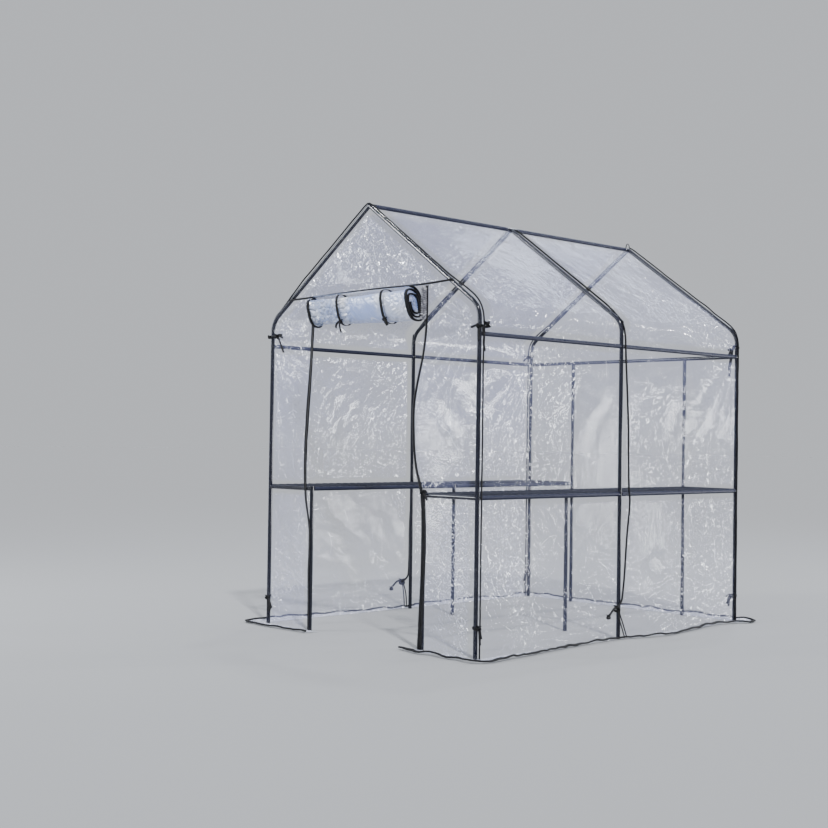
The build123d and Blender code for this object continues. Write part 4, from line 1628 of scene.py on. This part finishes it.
@dataclass
class DoorRoll:
    """The door, rolled up outwards under its seam, with bound ends and two ties."""

    places: FramePlaces
    left: float = -0.332
    right: float = 0.356
    left_size: tuple[float, float] = (0.074, 0.136)
    right_size: tuple[float, float] = (0.104, 0.158)
    left_drop: float = 0.010
    right_drop: float = 0.008
    squareness: float = 0.045
    lean: float = -0.30
    turns: float = 6.8
    loose_turns: float = 2.8
    loose_core: float = 0.40
    core: float = 0.16
    tie_places: tuple[float, float] = (-0.118, 0.190)
    tie_width: float = 0.017
    top: float = field(init=False)

    def __post_init__(self) -> None:
        """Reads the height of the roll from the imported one."""
        self.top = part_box("door_roll")[0].z + self.right_size[1] - 0.002

    def section(self, x: float) -> tuple[Vector, float, float]:
        """Centre and half sizes of the roll's cross section at a place along it."""
        share = (x - self.left) / (self.right - self.left)
        depth = blend(self.left_size[0], self.right_size[0], share) / 2
        height = blend(self.left_size[1], self.right_size[1], share) / 2
        sag = 0.004 * math.sin(math.pi * share) + blend(self.left_drop, self.right_drop, share)
        flare = 1 + 0.09 * smooth_step(0.07, 0.0, share)
        depth, height = depth * flare, height * flare
        centre = Vector((x, -self.places.front - depth + 0.010, self.top - height - sag))
        return centre, depth, height

    def spiral(self, x: float, share: float, grow: float = 0.0) -> Vector:
        """Point of the rolled film.

        Args:
            x: Place along the roll.
            share: 0 at the outer end of the film, under the seam, and 1 in the core.
            grow: Distance outwards from the film.

        Returns:
            The point.
        """
        centre, depth, height = self.section(x)
        turn = math.pi / 2 - share * self.turns * 2 * math.pi
        loose = self.loose_turns / self.turns
        if share < loose:
            shrink = blend(1.0, self.loose_core, share / loose)
        else:
            shrink = blend(self.loose_core, self.core, (share - loose) / (1 - loose))
        flat = 1 - self.squareness * math.cos(4 * turn)
        dent = 0.05 * noise.noise((x * 3.5, turn * 0.35, 3.3)) + 0.025 * noise.noise((x * 11, turn * 0.8, 7.3))
        size = shrink * flat * (1 + dent)
        y, z = (depth * size + grow) * math.cos(turn), (height * size + grow) * math.sin(turn)
        return centre + Vector((0, y + self.lean * z, z))

    def build(self, finishes: Finishes) -> list[bpy.types.Object]:
        """Builds the rolled film, its bound ends, its ties and the braid beside it."""
        return [
            self.film(finishes),
            self.bunched_ends(finishes),
            self.bound_ends(finishes),
            self.ties(finishes),
            self.hanging_braid(finishes),
        ]

    def film(self, finishes: Finishes) -> bpy.types.Object:
        """Builds the spiral of film and the flap that it hangs from."""
        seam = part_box("door_head_piping")[0].z + 0.002

        def place(across: float, share: float) -> FilmPoint:
            """Point of the film for shares along the roll and round it."""
            x = blend(self.left, self.right, across)
            # The left end is made more crumpled, which whitens it; this whiteness is partly painted sunlit brightness.
            crumple = blend(1.0, 0.15, smooth_step(0.05, 0.60, across))
            lead = 0.04
            if share < lead:
                end = self.spiral(x, 0.0)
                start = Vector((x * 1.05, -self.places.front - 0.001, seam))
                return FilmPoint(start.lerp(end, share / lead), 0.0, crumple)
            return FilmPoint(self.spiral(x, (share - lead) / (1 - lead)), 0.0, crumple)

        mesh = bmesh.new()
        add_film(mesh, 92, 380, place)
        bmesh.ops.recalc_face_normals(mesh, faces=mesh.faces)
        piece = as_object("rolled_door_film", mesh)
        finish_piece(piece, finishes.rolled_film, ["door_roll"])
        return piece

    def bunched_ends(self, finishes: Finishes) -> bpy.types.Object:
        """Builds the crumpled layers that show between the bound turns at both ends."""
        mesh = bmesh.new()
        for x, way in ((self.left, -1), (self.right, 1)):
            centre, depth, height = self.section(x)

            def place(around: float, out: float, x=x, way=way, centre=centre, depth=depth, height=height) -> Vector:
                """Point of the crumpled layers."""
                turn = 2 * math.pi * around
                reach = 0.94 * out * (1 - self.squareness * math.cos(4 * turn))
                y, z = depth * reach * math.cos(turn), height * reach * math.sin(turn)
                y += self.lean * z
                ripple = noise.noise((y * 60, z * 60, x)) + 0.5 * noise.noise((y * 150, z * 150, x + 4))
                return centre + Vector((way * (0.005 * ripple - 0.004), y, z))

            add_grid(mesh, 48, 16, place)
        bmesh.ops.remove_doubles(mesh, verts=mesh.verts, dist=1e-6)
        piece = tape_piece("roll_end_layers", mesh)
        return finish_piece(piece, finishes.rolled_film)

    def bound_ends(self, finishes: Finishes) -> bpy.types.Object:
        """Builds the black tape bound to the door's two side edges, which shows as spirals."""
        mesh = bmesh.new()
        loose = self.loose_turns / self.turns
        count = 150
        for x, way in ((self.left, -1), (self.right, 1)):
            band = [self.spiral(x - way * 0.004, loose * i / count, 0.0014) for i in range(count + 1)]
            add_tape(mesh, band, along_axis(Vector((1, 0, 0))), 0.016, 0.0085)
        piece = tape_piece("roll_end_bindings", mesh)
        return finish_piece(piece, finishes.binding)

    def ties(self, finishes: Finishes) -> bpy.types.Object:
        """Builds the two tapes round the roll, each knotted low at the front with two tails."""
        mesh = bmesh.new()
        tails = (
            ((-0.032, -0.030, 0.011), (0.006, -0.052, 0.008)),
            ((-0.014, -0.008, 0.010), (0.018, -0.030, 0.012)),
        )
        for x, ends in zip(self.tie_places, tails):
            line = []
            count = 60
            for i in range(count + 1):
                turn = 2 * math.pi * (i / count) + math.pi
                centre, depth, height = self.section(x + 0.007 * math.cos(turn))
                flat = 0.965 - self.squareness * math.cos(4 * (turn + math.pi / 2))
                y, z = -(depth * flat + 0.002) * math.sin(turn), (height * flat + 0.002) * math.cos(turn)
                y += self.lean * z
                line.append(centre + Vector((0.002 * i / count, y, z)))
            add_tape(mesh, line, along_axis(Vector((1, 0, 0))), self.tie_width, 0.0022)
            centre, depth, height = self.section(x)
            low = -height * 0.70
            knot = centre + Vector((0.006, self.lean * low - depth * 0.78 - 0.005, low))
            tie_knot(mesh, knot, 0.0085)
            for across, drop, width in ends:
                line = [
                    knot + Vector((across * share, -0.008 * math.sin(math.pi * share), drop * share**1.3))
                    for share in (0, 0.15, 0.3, 0.45, 0.6, 0.75, 0.9, 1.0)
                ]
                add_tape(mesh, line, self.facing_front(line), width, 0.0026)
        piece = tape_piece("roll_tie_tapes", mesh)
        return finish_piece(piece, finishes.tape, ["roll_ties"])

    @staticmethod
    def facing_front(line: Sequence[Vector]) -> Callable[[int], Vector]:
        """The way across a tape whose flat side looks outwards to the front."""
        way = line[-1] - line[0]
        return lambda i: way.cross(Vector((0.45, -0.80, 0.30 - 0.07 * i)))

    def hanging_braid(self, finishes: Finishes) -> bpy.types.Object:
        """Builds the gathered zip tape that hangs plaited beside the right end of the roll."""
        mesh = bmesh.new()
        top, foot = self.places.head - 0.004, self.top - 0.136
        x, y = self.right + 0.026, -self.places.front - 0.012
        count = 54
        for strand in range(3):
            line = []
            for i in range(count + 1):
                share = i / count
                turn = 2 * math.pi * (share * 4.5 + strand / 3)
                spread = 0.0085 * smooth_step(0.0, 0.12, share)
                line.append(
                    Vector((x + spread * math.sin(turn), y + 0.55 * spread * math.sin(2 * turn), blend(top, foot, share)))
                )
            add_tape(mesh, line, lambda i: Vector((1, 0.4, 0)), 0.011, 0.0035)
        tie_knot(mesh, Vector((x, y - 0.002, foot)), 0.012)
        piece = tape_piece("gathered_zip_tape", mesh)
        return finish_piece(piece, finishes.faded_tape)


def tie_knot(mesh: bmesh.types.BMesh, centre: Vector, size: float) -> None:
    """Adds a small tape knot as a closed three-lobed line.

    Args:
        mesh: The mesh that the knot joins.
        centre: Middle of the knot.
        size: Half its width.
    """
    count = 36
    line = []
    for i in range(count + 1):
        turn = 2 * math.pi * i / count
        x = (math.sin(turn) + 2 * math.sin(2 * turn)) / 3
        z = (math.cos(turn) - 2 * math.cos(2 * turn)) / 3
        line.append(centre + size * Vector((x, -0.7 * math.sin(3 * turn), z)))
    add_tape(mesh, line, lambda i: line[i] - centre, size * 0.75, size * 0.42, sides=8)


@dataclass(frozen=True)
class TieBow:
    """A short tape tied round a tube, with a knot and loose tails."""

    tube: tuple[float, float]
    height: float
    knot: Vector
    tails: tuple[tuple[float, float, float], ...]
    knot_size: float = 0.0095


@dataclass
class CornerTies:
    """Short tapes that tie the cover to the corner posts and rails."""

    places: FramePlaces
    tape: float = 0.010

    def bows(self) -> list[TieBow]:
        """The ties that the photograph shows, and the same on the hidden corners."""
        span, bay = self.places.hoop.half_span, self.places.bay
        upper, lower, shelf = self.places.upper_tie, 0.13, self.places.shelf + 0.010
        low_upper = upper - 0.014
        face, wall = -bay - 0.0195, span + 0.0175
        inner = self.places.inner
        return [
            TieBow((span, -bay), low_upper, Vector((span + 0.010, -bay - 0.015, low_upper)),
                   ((-0.036, -0.010, -0.006), (0.004, 0.030, -0.004), (0.005, -0.004, -0.062))),
            TieBow((span, -bay), low_upper, Vector((wall + 0.004, -bay + 0.020, low_upper + 0.008)),
                   ((0.002, 0.016, 0.006), (0.002, 0.020, -0.012), (0.001, 0.008, -0.014)), 0.013),
            TieBow((-span, -bay), upper, Vector((-span + 0.056, face, upper + 0.002)),
                   ((0.044, -0.002, 0.004), (0.050, -0.003, -0.010), (0.024, -0.002, -0.020),
                    (0.058, -0.002, -0.082), (-0.046, 0.004, -0.002)), 0.011),
            TieBow((-span, -bay), upper, Vector((-wall + 0.002, -bay - 0.008, upper + 0.002)),
                   ((-0.003, -0.008, 0.004),), 0.008),
            TieBow((span, bay), upper, Vector((span - 0.004, bay - 0.024, upper + 0.006)),
                   ((-0.030, -0.004, -0.018), (-0.034, -0.004, -0.060), (-0.020, -0.004, -0.150),
                    (-0.026, -0.002, -0.120))),
            TieBow((-span, bay), upper, Vector((-wall, bay - 0.010, upper)),
                   ((-0.004, -0.040, 0.004), (-0.004, -0.034, -0.024))),
            TieBow((span, -bay), lower, Vector((wall, -bay + 0.002, lower)),
                   ((0.004, 0.010, -0.046), (0.003, 0.004, -0.070))),
            TieBow((-span, -bay), lower, Vector((-span + 0.012, face, lower)),
                   ((0.030, -0.002, -0.060), (0.042, -0.003, -0.050), (0.018, -0.002, -0.072))),
            TieBow((span, bay), lower, Vector((span - 0.006, bay - 0.022, lower + 0.004)),
                   ((-0.030, -0.004, -0.010), (-0.022, -0.004, -0.044), (-0.010, -0.004, -0.056))),
            TieBow((-span, bay), lower, Vector((-wall, bay - 0.004, lower)),
                   ((-0.004, -0.014, -0.046), (-0.003, -0.006, -0.066))),
            TieBow((inner, -bay), shelf, Vector((inner + 0.008, face, shelf + 0.006)),
                   ((-0.010, -0.004, 0.030), (0.034, -0.006, 0.004), (0.036, -0.002, -0.034))),
        ]

    def build(self, finishes: Finishes) -> list[bpy.types.Object]:
        """Builds all corner ties as one piece."""
        mesh = bmesh.new()
        reach = self.places.tube_radius + 0.0040
        up = along_axis(Vector((0, 0, 1)))
        for bow in self.bows():
            count = 26
            tube = Vector((bow.tube[0], bow.tube[1], bow.height))
            line = []
            for i in range(count + 1):
                turn = 2 * math.pi * i / count
                line.append(tube + Vector((reach * math.cos(turn), reach * math.sin(turn), 0.003 * math.sin(turn))))
            add_tape(mesh, line, up, self.tape, 0.0018)
            tie_knot(mesh, bow.knot, bow.knot_size)
            for tail in bow.tails:
                way = Vector(tail)
                rise = 0.18 * way.length
                line = [
                    bow.knot + way * share + Vector((0, 0, rise * math.sin(math.pi * share) * (0.9 - share)))
                    for share in (0, 0.15, 0.3, 0.45, 0.6, 0.75, 0.9, 1.0)
                ]
                add_tape(mesh, line, self.twisted(way), self.tape, 0.0024)
        self.add_hanging_strap(mesh)
        self.add_ridge_loop(mesh)
        piece = tape_piece("corner_tie_tapes", mesh)
        return [finish_piece(piece, finishes.tape, ["corner_ties"])]

    @staticmethod
    def twisted(way: Vector) -> Callable[[int], Vector]:
        """The way across a loose tail, whose flat side looks outwards and twists a little."""
        return lambda i: way.cross(Vector((0.45, -0.80, 0.30 - 0.08 * i)))

    def add_hanging_strap(self, mesh: bmesh.types.BMesh) -> None:
        """Adds the strap end that hangs beside the front right post."""
        foot = Vector((self.places.wall + 0.006, -self.places.bay + 0.004, self.places.purlin + 0.030))
        line = [foot + Vector((0.002 * math.sin(5 * i), 0.001 * i, -0.0115 * i)) for i in range(10)]
        add_tape(mesh, line, along_axis(Vector((0.5, 0.7, 0.0))), 0.009, 0.003)

    def add_ridge_loop(self, mesh: bmesh.types.BMesh) -> None:
        """Adds the small loop that stands on the back end of the ridge."""
        hoop = self.places.hoop
        foot = Vector((0, self.places.bay - 0.006, hoop.ridge + hoop.offset))
        count = 20
        line = [
            foot + Vector((0.011 * math.cos(math.pi * i / count), 0, 0.022 * math.sin(math.pi * i / count)))
            for i in range(count + 1)
        ]
        add_tape(mesh, line, along_axis(Vector((0, 1, 0))), 0.007, 0.002)


@dataclass
class HoldDownRope:
    """The rope over the middle hoop, kinked at shelf height and knotted near the ground."""

    places: FramePlaces
    strand: float = 0.0026
    twist: float = 0.030
    side_route: Edge = (
        (1.455, 0.000), (1.400, 0.008), (1.300, 0.012), (1.166, 0.018), (1.050, 0.021), (0.952, 0.023),
        (0.800, 0.026),
        (0.690, 0.030), (0.614, 0.043), (0.478, 0.020), (0.283, 0.014), (0.200, 0.006), (0.163, 0.000),
    )
    knot_height: float = 0.145
    knot_y: float = -0.040

    def route(self) -> list[Vector]:
        """Points of the rope from the left knot over the roof to the right knot."""
        hoop = self.places.hoop
        clear = 0.0056
        right = []
        for height, y in self.side_route:
            reach = hoop.reach(height) if height > hoop.bend_start else self.places.wall
            bow = 0.012 * smooth_step(0.1, 0.5, height) * smooth_step(1.35, 0.9, height)
            right.append(Vector((reach + clear + bow, y, height)))
        right.append(Vector((self.places.wall + clear + 0.002, self.knot_y, self.knot_height)))
        roof = []
        count = 16
        above = hoop.round_length + hoop.roof_length + hoop.bend_length * 0.6
        for i in range(count + 1):
            along = blend(-above, above, i / count)
            point, out = hoop.at(along)
            wander = 0.004 * noise.noise((along * 2.0, 0.4, 8.8)) + 0.004
            roof.append(point + out * clear + Vector((0, wander, 0)))
        left = [Vector((-p.x, p.y * 0.8 - 0.002, p.z)) for p in reversed(right)]
        return left + roof + right

    def smooth_route(self) -> list[Vector]:
        """Points along the rope's own smooth line."""
        curve = strand_curve("route", self.route(), 0.0, sides=0, steps=12)
        bpy.context.view_layer.update()
        graph = bpy.context.evaluated_depsgraph_get()
        mesh = bpy.data.meshes.new_from_object(curve.evaluated_get(graph))
        points = [vertex.co.copy() for vertex in mesh.vertices]
        bpy.data.meshes.remove(mesh)
        bpy.data.objects.remove(curve)
        return points

    def strands(self, line: Sequence[Vector]) -> list[bpy.types.Object]:
        """Winds three strands round a line."""
        spread = self.strand * 0.95
        step = self.twist / 7
        made = []
        for k in range(3):
            points = []
            gone = 0.0
            for i in range(len(line) - 1):
                run = line[i + 1] - line[i]
                ahead = run.normalized()
                side = ahead.cross(Vector((0, 1, 0.3))).normalized()
                other = ahead.cross(side)
                count = max(1, round(run.length / step))
                for n in range(count):
                    turn = 2 * math.pi * ((gone + run.length * n / count) / self.twist + k / 3)
                    middle = line[i] + run * (n / count)
                    points.append(middle + (side * math.cos(turn) + other * math.sin(turn)) * spread)
                gone += run.length
            made.append(strand_curve("strand", points, self.strand, line=Strand.STRAIGHT, sides=1, steps=1))
        return made

    def build(self, finishes: Finishes) -> list[bpy.types.Object]:
        """Builds the rope, its knots and its ends down to the ground."""
        strands = self.strands(self.smooth_route())
        knots = bmesh.new()
        wall = self.places.wall + 0.0062
        for side in (-1, 1):
            knot = Vector((side * (wall + 0.006), self.knot_y, self.knot_height))
            tie_knot(knots, knot, 0.015)
            tail = [
                knot,
                knot + Vector((side * 0.006, -0.022, 0.006)),
                knot + Vector((side * 0.008, -0.045, -0.012)),
                knot + Vector((side * 0.007, -0.066, -0.030)),
            ]
            strands.append(strand_curve("tail", tail, 0.0048, sides=3, steps=6))
            tie_knot(knots, tail[-1] + Vector((0, -0.003, -0.003)), 0.010)
            for shift in (0.0, 0.016):
                leg = [
                    knot + Vector((0, 0.004 + shift * 0.3, -0.006)),
                    knot + Vector((side * 0.003, 0.014 + shift, -0.052)),
                    knot + Vector((side * 0.010, 0.028 + shift, -0.098)),
                    Vector((side * (wall + 0.024), self.knot_y + 0.036 + shift, 0.008)),
                ]
                strands.append(strand_curve("leg", leg, 0.0030, sides=2, steps=8))
        piece = join_strands("hold_down_rope", strands)
        tied = tape_piece("hold_down_knots", knots)
        return [
            finish_piece(piece, finishes.rope, ["storm_rope"]),
            finish_piece(tied, finishes.rope),
        ]


def main() -> None:
    """Builds the studio and dresses the greenhouse, one sub-assembly after another."""
    logging.basicConfig(level=logging.INFO, format="%(name)s: %(message)s")
    Studio().build()
    finishes = Finishes(Patterns())
    places = FramePlaces.read()
    cover = Cover(places)
    log.info("tube frame: %d nodes dressed", TubeFrame().dress(finishes))
    for part in (
        ShelfWires(places),
        cover,
        Bindings(places, cover),
        DoorRoll(places),
        CornerTies(places),
        HoldDownRope(places),
    ):
        for piece in part.build(finishes):
            log.info("%s: %d faces", piece.name, len(piece.data.polygons))


if __name__ == "__main__":
    main()
